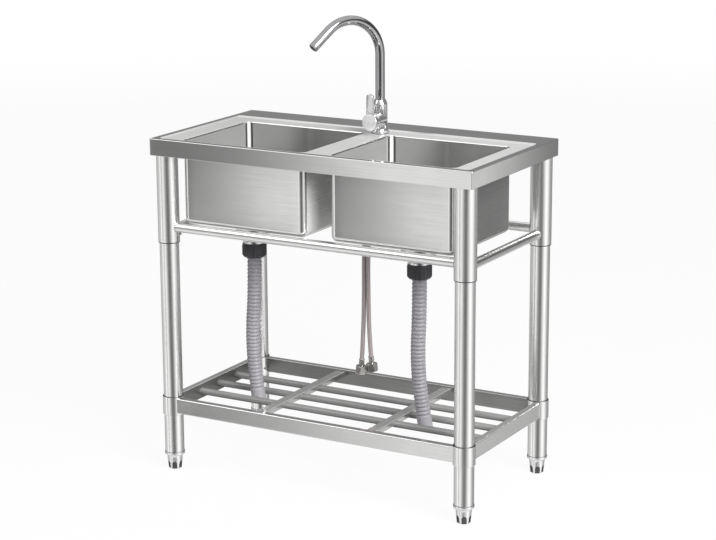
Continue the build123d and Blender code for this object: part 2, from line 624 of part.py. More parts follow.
def spout_collar():
    """Tapered ring screwed into the body, which holds the spout down and guides it."""
    bore, bottom = SPOUT_R + RUNNING, SPOUT_FOOT_Z[1] + RUNNING
    return turned([(bore, bottom), (SPOUT_FOOT_R, bottom), (SPOUT_FOOT_R, TAP_BODY_TOP),
                   (TAP_BODY_R, TAP_BODY_TOP), (TAP_BODY_R, TAP_BODY_TOP + TAP_COLLAR_BAND),
                   (TAP_COLLAR_R, TAP_COLLAR_TOP), (bore, TAP_COLLAR_TOP)], (TAP_X, TAP_Y))


def aerator():
    """Insert in the spout's end: a ring with a cross-barred screen."""
    wire = spout_wire()
    radius = SPOUT_R - SPOUT_WALL
    inside = radius - AERATOR_WALL
    end = Plane(origin=(wire @ 1) - (wire % 1) * AERATOR_INSET, z_dir=wire % 1)
    ring = extrude(end * (Circle(radius) - Circle(inside)), AERATOR_LENGTH)
    bars = Sketch()
    for offset in (-AERATOR_PITCH, 0, AERATOR_PITCH):
        reach = 2 * (radius ** 2 - offset ** 2) ** 0.5 - AERATOR_WALL
        bars += Pos(offset, 0) * Rectangle(AERATOR_BAR, reach)
        bars += Pos(0, offset) * Rectangle(reach, AERATOR_BAR)
    return ring + extrude(end.offset(AERATOR_LENGTH / 2) * bars, 2 * AERATOR_BAR)


def cartridge():
    """Valve cartridge, with a bore for its turning core."""
    body = rod_y(CARTRIDGE_R, *CARTRIDGE_Y, TAP_X, BARREL_Z)
    bore = rod_y(TURNTABLE_R + RUNNING, CARTRIDGE_Y[0] - OVER, TURNTABLE_Y[1] + RUNNING, TAP_X, BARREL_Z)
    return body - bore


def cartridge_cover():
    """Domed ring on the barrel; the lever's cap rides over it."""
    rings = [(BARREL_R * cos(radians(turn)), PIVOT_Y - BARREL_R * sin(radians(turn))) for turn in DOME_TURNS]
    profile = [(BARREL_R, BARREL_MOUTH_Y)] + rings + [
        (COVER_BORE_R, rings[-1][1]), (COVER_BORE_R, CARTRIDGE_Y[0]),
        (CARTRIDGE_R, CARTRIDGE_Y[0]), (CARTRIDGE_R, BARREL_MOUTH_Y)]
    return turned_y(profile)


def turntable():
    """Turning core with a fork and the pin on which the stem tilts."""
    core = rod_y(TURNTABLE_R, *TURNTABLE_Y, TAP_X, BARREL_Z)
    side, slot = TURNTABLE_R + OVER, FORK_SLOT / 2
    core -= block((TAP_X - slot, TAP_X + slot), (TURNTABLE_Y[0] - OVER, PIVOT_Y + FORK_DEPTH),
                  (BARREL_Z - side, BARREL_Z + side))
    pin_reach = (TURNTABLE_R ** 2 - PIVOT_PIN_R ** 2) ** 0.5 - RUNNING
    pin = rod_x(PIVOT_PIN_R, TAP_X - pin_reach, TAP_X + pin_reach, PIVOT_Y, BARREL_Z)
    core -= rod_x(PIVOT_PIN_R, TAP_X - side, TAP_X + side, PIVOT_Y, BARREL_Z)
    return Compound(children=[core, pin])


def stem_block(y_to):
    """The square stem from its seat in the cap back to a given Y."""
    side = STEM_W / 2
    return block((TAP_X - side, TAP_X + side), (CAP_Y[0] + STEM_SEAT, y_to), (BARREL_Z - side, BARREL_Z + side))


def stem():
    """Square stem that tilts on the pin and carries the handle."""
    reach = STEM_W / 2 + OVER
    return stem_block(PIVOT_Y + STEM_TAIL) - rod_x(
        PIVOT_PIN_R + RUNNING, TAP_X - reach, TAP_X + reach, PIVOT_Y, BARREL_Z)


def handle():
    """Round cap, hollow at the back, and an upright, round-ended lever."""
    cap = rod_y(CAP_R, *CAP_Y, TAP_X, BARREL_Z)
    cap = fillet(cap.faces().sort_by(Axis.Y)[0].edges(), CAP_EDGE)
    back = Plane(origin=(TAP_X, CAP_Y[0] + LEVER_SET + LEVER_T, 0), x_dir=(1, 0, 0), z_dir=(0, -1, 0))
    outline = Pos(0, (BARREL_Z + LEVER_TOP) / 2) * SlotOverall(LEVER_TOP - BARREL_Z, LEVER_W, rotation=90)
    lever = extrude(back * outline, LEVER_T)
    lever = fillet(lever.faces().sort_by(Axis.Y)[0].edges(), LEVER_EDGE)
    hollow = turned_y([*CAP_HOLLOW, (CAP_HOLLOW[-1][0], CAP_Y[1] + OVER), (0, CAP_Y[1] + OVER)])
    return cap + lever - hollow - stem_block(PIVOT_Y)


def tap_gasket():
    """Seal between the mixer and the deck."""
    return pipe(TAP_GASKET_R, TAP_HOLE_R, TAP_SEAT, TAP_SEAT + TAP_GASKET_T, (TAP_X, TAP_Y))


def tap_shank():
    """Threaded tube that holds the mixer down; the supply hoses leave through it."""
    return pipe(SHANK_R, SHANK_BORE_R, *SHANK_Z, (TAP_X, TAP_Y))


def tap_washer():
    """Washer under the deck."""
    return pipe(WASHER_R, SHANK_R + LOCK_GAP, FIELD_UNDER - WASHER_T, FIELD_UNDER, (TAP_X, TAP_Y))


def tap_locknut():
    """Hexagon nut on the shank."""
    top = FIELD_UNDER - WASHER_T
    bottom = top - LOCKNUT_HEIGHT
    hexagon = RegularPolygon(LOCKNUT_FLATS / 2, 6, major_radius=False)
    nut = Pos(TAP_X, TAP_Y, bottom) * extrude(hexagon, LOCKNUT_HEIGHT)
    return nut - rod(SHANK_R, bottom - OVER, top + OVER, (TAP_X, TAP_Y))


def supply_hose(points):
    """Flexible supply hose, from the mixer's underside to its ferrule."""
    wire = route_wire(points)
    return sweep(section_plane(wire, 0) * Circle(SUPPLY_R), path=wire)


def end_plane(points):
    """The plane at a hose's free end, facing on along the hose."""
    before, last = Vector(*points[-2]), Vector(*points[-1])
    return Plane(origin=last, z_dir=last - before)


def supply_ferrule(points):
    """Crimped ferrule with the collar that the union nut turns on."""
    end = end_plane(points)
    radius, thickness = FERRULE_COLLAR
    shell = extrude(end * Circle(FERRULE_R), FERRULE_LENGTH)
    return shell + extrude(end.offset(FERRULE_LENGTH) * Circle(radius), thickness)


def union_nut(points):
    """Hexagon union nut with its female thread open at the free end."""
    end = end_plane(points).offset(FERRULE_LENGTH - UNION_LIP)
    seat_r, seat_depth = UNION_SEAT
    hexagon = RegularPolygon(UNION_FLATS / 2, 6, major_radius=False)
    nut = extrude(end * hexagon, UNION_LIP + seat_depth + UNION_THREAD)
    nut -= extrude(end.offset(UNION_LIP + seat_depth) * Circle(UNION_BORE_R), UNION_THREAD + OVER)
    nut -= extrude(end.offset(UNION_LIP) * Circle(seat_r), seat_depth + OVER)
    return nut - extrude(end.offset(-OVER) * Circle(FERRULE_R + LOCK_GAP), UNION_LIP + 2 * OVER)


# ---------------------------------------------------------------- assembly
def pieces():
    """Every sub-part, by name."""
    made = {"sink_deck": deck(),
            "left_bowl": bowl(LEFT_BOWL_X, LEFT_DRAIN),
            "right_bowl": bowl(RIGHT_BOWL_X, RIGHT_DRAIN)}
    for corner, at in CORNERS.items():
        made["upper_sleeve_" + corner] = sleeve(at)
        made["leg_tube_" + corner] = leg(at)
        made["shelf_collar_" + corner] = collar(at)
        made["foot_" + corner] = foot(at)
    made["upper_front_rail"] = upper_rail_long(-LEG_Y)
    made["upper_back_rail"] = upper_rail_long(LEG_Y)
    made["upper_left_rail"] = upper_rail_side(-LEG_X)
    made["upper_right_rail"] = upper_rail_side(LEG_X)
    made["shelf_front_rail"] = shelf_rail_long(-1)
    made["shelf_back_rail"] = shelf_rail_long(1)
    made["shelf_left_rail"] = shelf_rail_side(-1)
    made["shelf_right_rail"] = shelf_rail_side(1)
    made["shelf_slats"] = slats()
    made["shelf_strap_left"] = strap(-STRAP_X)
    made["shelf_strap_right"] = strap(STRAP_X)
    made["foot_inserts"] = Compound(children=[foot_insert(at) for at in CORNERS.values()])
    screws = [set_screw(at, z) for at in CORNERS.values() for z in (SLEEVE_SCREW_Z, COLLAR_SCREW_Z)]
    made["set_screws"] = Compound(children=screws)
    drains = (LEFT_DRAIN, RIGHT_DRAIN)
    made["strainer_cups"] = Compound(children=[strainer_cup(at) for at in drains])
    made["strainer_basket_left"] = strainer_basket(LEFT_DRAIN)
    made["strainer_basket_right"] = strainer_basket(RIGHT_DRAIN)
    made["drain_gaskets"] = Compound(children=[drain_gasket(at) for at in drains])
    made["drain_locknuts"] = Compound(children=[drain_locknut(at) for at in drains])
    made["coupling_nuts"] = Compound(children=[coupling_nut(at) for at in drains])
    made["hose_washers"] = Compound(children=[hose_washer(at) for at in drains])
    made["drain_hose_left"] = drain_hose(LEFT_DRAIN_ROUTE)
    made["drain_hose_right"] = drain_hose(RIGHT_DRAIN_ROUTE)
    made["faucet_body"] = tap_body()
    made["faucet_gasket"] = tap_gasket()
    made["faucet_shank"] = tap_shank()
    made["faucet_washer"] = tap_washer()
    made["faucet_locknut"] = tap_locknut()
    made["spout"] = spout()
    made["spout_collar"] = spout_collar()
    made["spout_o_rings"] = Compound(children=[o_ring(z) for z in O_RING_Z])
    made["aerator"] = aerator()
    made["cartridge"] = cartridge()
    made["cartridge_cover"] = cartridge_cover()
    made["cartridge_turntable"] = turntable()
    made["cartridge_stem"] = stem()
    made["handle_lever"] = handle()
    made["supply_hose_cold"] = supply_hose(COLD_ROUTE)
    made["supply_hose_hot"] = supply_hose(HOT_ROUTE)
    supplies = (COLD_ROUTE, HOT_ROUTE)
    made["supply_ferrules"] = Compound(children=[supply_ferrule(route) for route in supplies])
    made["union_nuts"] = Compound(children=[union_nut(route) for route in supplies])
    return made


os.makedirs("parts", exist_ok=True)
for name, solid in pieces().items():
    export_step(solid, os.path.join("parts", name + ".step"))
for name, points in (("left drain", LEFT_DRAIN_ROUTE), ("right drain", RIGHT_DRAIN_ROUTE),
                     ("cold supply", COLD_ROUTE), ("hot supply", HOT_ROUTE)):
    print(name, "hose, bend radii:", [round(r) for r in route_radii(points)],
          "length:", round(route_wire(points).length, 1))
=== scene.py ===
import logging
import math
from dataclasses import dataclass, field
from enum import Enum
from typing import Callable, Iterable, Optional, Sequence, Union

import bmesh
import bpy
from mathutils import Matrix, Vector


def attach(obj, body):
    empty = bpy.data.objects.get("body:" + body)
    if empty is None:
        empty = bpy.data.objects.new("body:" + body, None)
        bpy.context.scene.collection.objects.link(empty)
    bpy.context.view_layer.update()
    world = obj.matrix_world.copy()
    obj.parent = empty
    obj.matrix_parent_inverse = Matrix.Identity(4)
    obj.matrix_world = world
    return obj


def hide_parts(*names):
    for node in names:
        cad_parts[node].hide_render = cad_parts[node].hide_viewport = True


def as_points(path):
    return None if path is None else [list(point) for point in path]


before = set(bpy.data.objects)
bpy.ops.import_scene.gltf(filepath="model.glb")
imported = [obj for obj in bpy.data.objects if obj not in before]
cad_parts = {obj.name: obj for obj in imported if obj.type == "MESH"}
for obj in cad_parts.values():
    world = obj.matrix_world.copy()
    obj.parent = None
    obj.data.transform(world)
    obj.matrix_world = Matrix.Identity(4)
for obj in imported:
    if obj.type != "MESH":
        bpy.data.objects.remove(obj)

# Looks of a free-standing stainless sink unit: two bowls, round legs, slatted shelf, gooseneck mixer.
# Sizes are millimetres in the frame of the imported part; meshes are written in metres.

LOG = logging.getLogger("sink_unit")
MM = 0.001
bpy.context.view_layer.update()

Span = tuple[float, float]
Point = tuple[float, float, float]
Ring = list[Vector]
Colour = tuple[float, float, float, float]
Mesh, Object, Material = bpy.types.Mesh, bpy.types.Object, bpy.types.Material
Node, Socket = bpy.types.Node, bpy.types.NodeSocket
Source = Union[Socket, Node]          # a node stands for its first output

# Driving sizes that several sub-assemblies share.
SHEET = 1.2                        # gauge of deck and bowls
LEG_X, LEG_Y = 381.0, 189.5
SLEEVE_R = 25.0                    # sleeves under the deck and collars at the shelf
ROOT = 0.6                         # how far a rail's end reaches into the sleeve it is welded to
BOWL_Y = (-185.0, 92.0)
LEFT_X, RIGHT_X = (-341.0, -21.0), (45.0, 351.0)
BOWL_CORNER = 14.0
LEFT_DRAIN, RIGHT_DRAIN = (-232.0, -60.0), (202.0, -60.0)
TAP = (12.0, 104.0)
RIGHTWARD, REARWARD, UP = Vector((1, 0, 0)), Vector((0, 1, 0)), Vector((0, 0, 1))
CORNERS = {"front_left": (-LEG_X, -LEG_Y), "front_right": (LEG_X, -LEG_Y),
           "back_left": (-LEG_X, LEG_Y), "back_right": (LEG_X, LEG_Y)}
# Each side's direction along, direction outwards, and the legs' distance from the middle in both.
SIDES = {"front": (RIGHTWARD, -REARWARD, LEG_X, LEG_Y), "back": (RIGHTWARD, REARWARD, LEG_X, LEG_Y),
         "left": (REARWARD, -RIGHTWARD, LEG_Y, LEG_X), "right": (REARWARD, RIGHTWARD, LEG_Y, LEG_X)}


# ---------------------------------------------------------------- node trees
# Kinds of node that several trees use.
MATH, MIX, NOISE = "ShaderNodeMath", "ShaderNodeMix", "ShaderNodeTexNoise"
RANGE, COORDINATES, AXES = "ShaderNodeMapRange", "ShaderNodeTexCoord", "ShaderNodeCombineXYZ"
PRINCIPLED, DIFFUSE, BUMP = "ShaderNodeBsdfPrincipled", "ShaderNodeBsdfDiffuse", "ShaderNodeBump"
INSTANCES, STORE = "GeometryNodeInstanceOnPoints", "GeometryNodeStoreNamedAttribute"
CIRCLE, SKIN = "GeometryNodeCurvePrimitiveCircle", "GeometryNodeCurveToMesh"


def linear(hex_colour: str) -> Colour:
    """Turn an sRGB hex colour into the linear one that Blender's sockets take.

    Args:
        hex_colour: The colour, with its hash.

    Returns:
        Red, green, blue and alpha.
    """
    parts = [int(hex_colour[i:i + 2], 16) / 255 for i in (1, 3, 5)]
    red, green, blue = (c / 12.92 if c <= 0.04045 else ((c + 0.055) / 1.055) ** 2.4 for c in parts)
    return red, green, blue, 1.0


class Graph:
    """A node tree that nodes are added to."""

    def __init__(self, tree: bpy.types.NodeTree) -> None:
        """Empty the tree."""
        self.tree = tree
        tree.nodes.clear()

    def add(self, kind: str, inputs: Optional[dict] = None, **properties: object) -> Node:
        """Add a node.

        Args:
            kind: Blender's type name of the node.
            inputs: Values by name or index of the input; a socket or a node's first output is linked.
            **properties: The node's own properties.

        Returns:
            The new node.
        """
        node = self.tree.nodes.new(kind)
        for key, value in properties.items():
            setattr(node, key, value)
        for key, value in (inputs or {}).items():
            source = value.outputs[0] if isinstance(value, Node) else value
            if isinstance(source, Socket):
                self.tree.links.new(source, node.inputs[key])
            else:
                node.inputs[key].default_value = source
        return node


class ShapeGraph(Graph):
    """A geometry tree with named sizes, which it grows on a base mesh or curve."""

    def __init__(self, name: str, sizes: dict[str, float]) -> None:
        """Start the tree with one input for each size.

        Args:
            name: Name of the tree.
            sizes: Its named inputs, in metres or as whole numbers.
        """
        super().__init__(bpy.data.node_groups.new(name, "GeometryNodeTree"))
        face = self.tree.interface
        face.new_socket("Geometry", in_out="INPUT", socket_type="NodeSocketGeometry")
        self.sizes: dict[str, float] = {}
        for label, size in sizes.items():
            kind = "NodeSocketInt" if isinstance(size, int) else "NodeSocketFloat"
            self.sizes[face.new_socket(label, in_out="INPUT", socket_type=kind).identifier] = size
        face.new_socket("Geometry", in_out="OUTPUT", socket_type="NodeSocketGeometry")
        self.take = self.add("NodeGroupInput").outputs

    def walled(self, skin: Source, bore: Source) -> Socket:
        """Join an outer skin with a bore whose faces are turned round.

        Args:
            skin: The outer skin.
            bore: The bore.

        Returns:
            Both together.
        """
        both = self.add("GeometryNodeJoinGeometry", {0: skin})
        self.tree.links.new(self.add("GeometryNodeFlipFaces", {"Mesh": bore}).outputs[0], both.inputs[0])
        return both.outputs[0]

    def grow(self, geometry: Source, base: bpy.types.ID, name: str, finish: "Finish") -> Mesh:
        """Close the tree, run it and return the result as a plain mesh.

        Args:
            geometry: The tree's result.
            base: Mesh or curve data that the tree starts from.
            name: Name of the resulting mesh.
            finish: Finish of the result.

        Returns:
            The realised mesh.
        """
        real = self.add("GeometryNodeRealizeInstances", {"Geometry": geometry})
        coated = self.add("GeometryNodeSetMaterial", {"Geometry": real, "Material": finish.material()})
        self.add("NodeGroupOutput", {0: coated})
        source = link(bpy.data.objects.new(name + "_base", base))
        modifier = source.modifiers.new(self.tree.name, "NODES")
        modifier.node_group = self.tree
        for identifier, size in self.sizes.items():
            modifier[identifier] = size
        return plain_mesh(source, name)


# ---------------------------------------------------------------- shapes
def circle(count: int, radius: float = 1.0, z: float = 0.0) -> Ring:
    """Evenly spaced points round the Z axis, the first of them on X."""
    turns = [2 * math.pi * i / count for i in range(count)]
    return [Vector((radius * math.cos(a), radius * math.sin(a), z)) for a in turns]


def hexagon(count: int, flats: float, z: float, limit: float = math.inf) -> Ring:
    """A hexagon as a ring of points at even angles.

    Args:
        count: Number of points.
        flats: Width over flats.
        z: Height.
        limit: Radius that the corners are cut off at.

    Returns:
        The points.
    """
    points = []
    for p in circle(count, 1.0, z):
        turn = math.atan2(p.y, p.x) % (math.pi / 3)
        reach = min(flats / 2 / math.cos(turn - math.pi / 6), limit)
        points.append(Vector((p.x * reach, p.y * reach, z)))
    return points


def rounded_rect(x: Span, y: Span, radius: float, z: float, steps: int = 6, runs: int = 1,
                 crown: float = 0.0) -> Ring:
    """Points of a rectangle with rounded corners, counter-clockwise from above.

    Args:
        x: Left and right sides.
        y: Front and back sides.
        radius: Radius of the corners.
        z: Height.
        steps: Segments in each corner.
        runs: Segments in each side.
        crown: How far the middle of each side stands out.

    Returns:
        The points.
    """
    corners = ((x[1] - radius, y[0] + radius, -90), (x[1] - radius, y[1] - radius, 0),
               (x[0] + radius, y[1] - radius, 90), (x[0] + radius, y[0] + radius, 180))
    points: Ring = []
    for i, (cx, cy, start) in enumerate(corners):
        arc = [math.radians(start + 90 * k / steps) for k in range(steps + 1)]
        points += [Vector((cx + radius * math.cos(a), cy + radius * math.sin(a), z)) for a in arc]
        nx, ny, _ = corners[(i + 1) % 4]
        out = Vector((math.cos(arc[-1]), math.sin(arc[-1]), 0))
        last, following = points[-1].copy(), Vector((nx, ny, z)) + radius * out
        for k in range(1, runs):
            t = k / runs
            points.append(last.lerp(following, t) + out * crown * (1 - (2 * t - 1) ** 2))
    return points


def on_circle(ring: Ring, centre: Span, radius: float, z: float) -> Ring:
    """The ring's points drawn in, along their own directions, to a circle about a centre."""
    turns = [math.atan2(p.y - centre[1], p.x - centre[0]) for p in ring]
    return [Vector((centre[0] + radius * math.cos(a), centre[1] + radius * math.sin(a), z)) for a in turns]


def turned_rings(profile: Sequence[Span], place: Matrix, sides: int = 64) -> list[Ring]:
    """Rings of a solid of revolution.

    Args:
        profile: Radius and height of each corner, in order; a radius of 0 is a pole.
        place: Where the axis stands; its Z column is the axis.
        sides: Faces round the axis.

    Returns:
        The rings.
    """
    return [[place @ p for p in circle(sides if radius > 0 else 1, radius, z)] for radius, z in profile]


def link(made: Object) -> Object:
    """Link an object to the scene."""
    bpy.context.scene.collection.objects.link(made)
    return made


def plain_mesh(source: Object, name: str) -> Mesh:
    """Take a linked object's evaluated shape as a plain mesh and remove the object.

    Args:
        source: The object, linked to the scene.
        name: Name of the mesh.

    Returns:
        The mesh.
    """
    graph = bpy.context.evaluated_depsgraph_get()
    mesh = bpy.data.meshes.new_from_object(source.evaluated_get(graph), preserve_all_data_layers=True,
                                           depsgraph=graph)
    mesh.name = name
    bpy.data.objects.remove(source)
    return mesh


def link_piece(mesh: Mesh, name: str, finish: "Finish", crease: float = 30.0) -> Object:
    """Link a finished mesh to the scene as one piece with one finish.

    Args:
        mesh: The mesh, placed in the part's frame, in metres.
        name: Name of the piece.
        finish: Its finish.
        crease: Degrees above which an edge stays sharp.

    Returns:
        The new object.
    """
    mesh.materials.clear()
    mesh.materials.append(finish.material())
    mesh.shade_smooth()
    mesh.set_sharp_from_angle(angle=math.radians(crease))
    return link(bpy.data.objects.new(name, mesh))


class Shape:
    """A mesh in the making, in millimetres, built ring by ring."""

    def __init__(self) -> None:
        """Start with nothing."""
        self.points: Ring = []
        self.faces: list[tuple[int, ...]] = []

    def ring(self, points: Iterable[Sequence[float]]) -> list[int]:
        """Add points.

        Args:
            points: Their places.

        Returns:
            Their indices.
        """
        start = len(self.points)
        self.points += [Vector(p) for p in points]
        return list(range(start, len(self.points)))

    def bridge(self, low: list[int], high: list[int]) -> None:
        """Join two closed rings of the same count, or a ring and a single pole, with faces.

        Args:
            low: Indices of the first ring or pole.
            high: Indices of the second.
        """
        count = max(len(low), len(high))
        for i in range(count):
            j = (i + 1) % count
            corners = [low[i % len(low)], low[j % len(low)], high[j % len(high)], high[i % len(high)]]
            self.faces.append(tuple(dict.fromkeys(corners)))

    def loft(self, rings: Sequence[Iterable[Sequence[float]]], closed: bool = False,
             caps: bool = False) -> list[list[int]]:
        """Join rings in order.

        Args:
            rings: Rings of equal count; a ring of one point is a pole.
            closed: Whether the last ring joins the first, as on a tube with a bore.
            caps: Whether the first and last ring are closed with a flat face.

        Returns:
            The rings' indices.
        """
        made = [self.ring(points) for points in rings]
        for low, high in zip(made, made[1:]):
            self.bridge(low, high)
        if closed:
            self.bridge(made[-1], made[0])
        if caps:
            self.faces += [tuple(reversed(made[0])), tuple(made[-1])]
        return made

    def piece(self, name: str, finish: "Finish", crease: float = 30.0,
              fill: Sequence[Sequence[list[int]]] = ()) -> Object:
        """Make the object, in metres, with outward faces and smooth shading up to a crease.

        Args:
            name: Name of the piece.
            finish: Its finish.
            crease: Degrees above which an edge stays sharp.
            fill: Sets of rings in one plane; each set is filled, its inner rings being holes.

        Returns:
            The object, linked to the scene.
        """
        body = bmesh.new()
        verts = [body.verts.new(p * MM) for p in self.points]
        for corners in self.faces:
            body.faces.new([verts[i] for i in corners])
        for rings in fill:
            pairs = [(verts[i], verts[j]) for ring in rings for i, j in zip(ring, ring[1:] + ring[:1])]
            edges = [body.edges.get(pair) or body.edges.new(pair) for pair in pairs]
            bmesh.ops.triangle_fill(body, use_beauty=True, edges=edges)
        bmesh.ops.remove_doubles(body, verts=body.verts, dist=1e-6)
        bmesh.ops.recalc_face_normals(body, faces=body.faces)
        mesh = bpy.data.meshes.new(name)
        body.to_mesh(mesh)
        body.free()
        return link_piece(mesh, name, finish, crease)


def lofted(name: str, finish: "Finish", rings: Sequence[Ring], crease: float = 30.0, closed: bool = True,
           caps: bool = False) -> Object:
    """Make a piece from a single loft.

    Args:
        name: Name of the piece.
        finish: Its finish.
        rings: Rings of equal count; a ring of one point is a pole.
        crease: Degrees above which an edge stays sharp.
        closed: Whether the last ring joins the first.
        caps: Whether the first and last ring are closed with a flat face.

    Returns:
        The piece.
    """
    shape = Shape()
    shape.loft(rings, closed, caps)
    return shape.piece(name, finish, crease)


def refinish(piece: Object, finish: "Finish", where: Callable[[Vector, Vector], bool]) -> None:
    """Give the faces of one region a second finish.

    Args:
        piece: The piece.
        finish: The second finish.
        where: Tells by a face's middle, in millimetres, and its direction whether it gets it.
    """
    piece.data.materials.append(finish.material())
    for face in piece.data.polygons:
        if where(face.center / MM, face.normal):
            face.material_index = len(piece.data.materials) - 1


def weighted(piece: Object) -> Object:
    """Let the large flat faces of a sheet piece set the shading of its edges.

    Args:
        piece: The piece.

    Returns:
        The same piece.
    """
    modifier = piece.modifiers.new("face_weighted_shading", "WEIGHTED_NORMAL")
    modifier.keep_sharp = True
    modifier.weight = 100
    return piece


def settle(piece: Object, slot: str, *nodes: str, body: str = "frame") -> Object:
    """Fix a piece to its body and hide the nodes that it stands for.

    Args:
        piece: The finished piece.
        slot: The record's material slot; not used.
        *nodes: The CAD nodes that it replaces.
        body: The body that it rides on.

    Returns:
        The same piece.
    """
    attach(piece, body)
    if nodes:
        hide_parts(*nodes)
    LOG.info("%s: %d faces, rides on %s", piece.name, len(piece.data.polygons), body)
    return piece


def dressed(node: str, finish: "Finish", slot: str, crease: float, bevel: float = 0.0,
            body: str = "frame") -> Object:
    """Stand in for a node with a merged copy of its mesh, smoothly shaded and with eased edges.

    Args:
        node: The CAD node.
        finish: Its finish.
        slot: The record's material slot.
        crease: Degrees above which an edge stays sharp.
        bevel: Width of the eased edges, 0 for none.
        body: The body that it rides on.

    Returns:
        The new piece.
    """
    copy = bmesh.new()
    copy.from_mesh(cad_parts[node].data)
    bmesh.ops.remove_doubles(copy, verts=copy.verts, dist=2e-6)
    if bevel:
        bmesh.ops.dissolve_limit(copy, angle_limit=math.radians(0.6), verts=copy.verts, edges=copy.edges)
    mesh = bpy.data.meshes.new(node + "_dressed")
    copy.to_mesh(mesh)
    copy.free()
    stale = mesh.attributes.get("custom_normal")   # the unmerged mesh's normals no longer fit
    if stale:
        mesh.attributes.remove(stale)
    piece = link_piece(mesh, node + "_dressed", finish, crease)
    if bevel:
        ease = piece.modifiers.new("eased_edges", "BEVEL")
        ease.width = bevel * MM
        ease.segments = 2
        ease.limit_method = "ANGLE"
        ease.angle_limit = math.radians(crease)
        ease.harden_normals = True
    return settle(piece, slot, node, body=body)


def cross_member(name: str, finish: "Finish", side: str, outer: Ring, inner: Ring) -> Object:
    """Make a tube between two legs, its ends cut to the sleeves' round.

    Args:
        name: Name of the piece.
        finish: Its finish.
        side: The side that it runs along.
        outer: Its section, as points outwards from the leg axes (x) and upwards (y).
        inner: The section of its bore.

    Returns:
        The piece.
    """
    axis, out, reach, off = SIDES[side]
    rings = []
    for end, section in ((-1, inner), (-1, outer), (1, outer), (1, inner)):
        lengths = [reach - math.sqrt(SLEEVE_R ** 2 - p.x ** 2) + ROOT for p in section]
        rings.append([axis * end * length + out * (off + p.x) + UP * p.y
                      for p, length in zip(section, lengths)])
    return lofted(name, finish, rings)


def close_rims(mesh: Mesh) -> None:
    """Join the outer and inner rims of open tubes, end by end.

    Args:
        mesh: A mesh whose open edges are pairs of rings, one inside the other.
    """
    work = bmesh.new()
    work.from_mesh(mesh)
    bmesh.ops.remove_doubles(work, verts=work.verts, dist=1e-7)
    open_edges = {e for e in work.edges if e.is_boundary}
    rims: list[set] = []
    while open_edges:
        edge = open_edges.pop()
        rim, reach = {edge}, list(edge.verts)
        while reach:
            for other in reach.pop().link_edges:
                if other in open_edges:
                    open_edges.remove(other)
                    rim.add(other)
                    reach += other.verts
        rims.append(rim)

    def middle(rim: set) -> Vector:
        """The middle of a rim."""
        points = [v.co for e in rim for v in e.verts]
        return sum(points, Vector()) / len(points)

    while rims:
        rim = rims.pop()
        mate = min(rims, key=lambda other: (middle(other) - middle(rim)).length)
        rims.remove(mate)
        bmesh.ops.bridge_loops(work, edges=list(rim | mate))
    bmesh.ops.recalc_face_normals(work, faces=work.faces)
    work.to_mesh(mesh)
    work.free()


# ---------------------------------------------------------------- finishes
class Grain(Enum):
    """Direction of the grinding marks, as the axis that they run along."""

    LENGTHWISE = 0
    DEPTHWISE = 1
    UPRIGHT = 2
    NONE = 3


@dataclass(frozen=True)
class Finish:
    """A named finish between two sRGB hex colours."""

    name: str
    light: str
    dull: str

    def material(self) -> Material:
        """Make this finish's material on first use, and keep to it afterwards.

        Returns:
            The material.
        """
        made = bpy.data.materials.get(self.name)
        if made is None:
            made = bpy.data.materials.new(self.name)
            made.use_nodes = True
            graph = Graph(made.node_tree)
            graph.add("ShaderNodeOutputMaterial", {"Surface": self.surface(graph)})
        return made

    def colour(self, graph: Graph, share: Source) -> Socket:
        """Colour from dull to light by a share."""
        return graph.add(MIX, {0: share, 6: linear(self.dull), 7: linear(self.light)},
                         data_type="RGBA").outputs[2]

    def surface(self, graph: Graph) -> Node:
        """Add the finish's own nodes and return its shader."""
        raise NotImplementedError


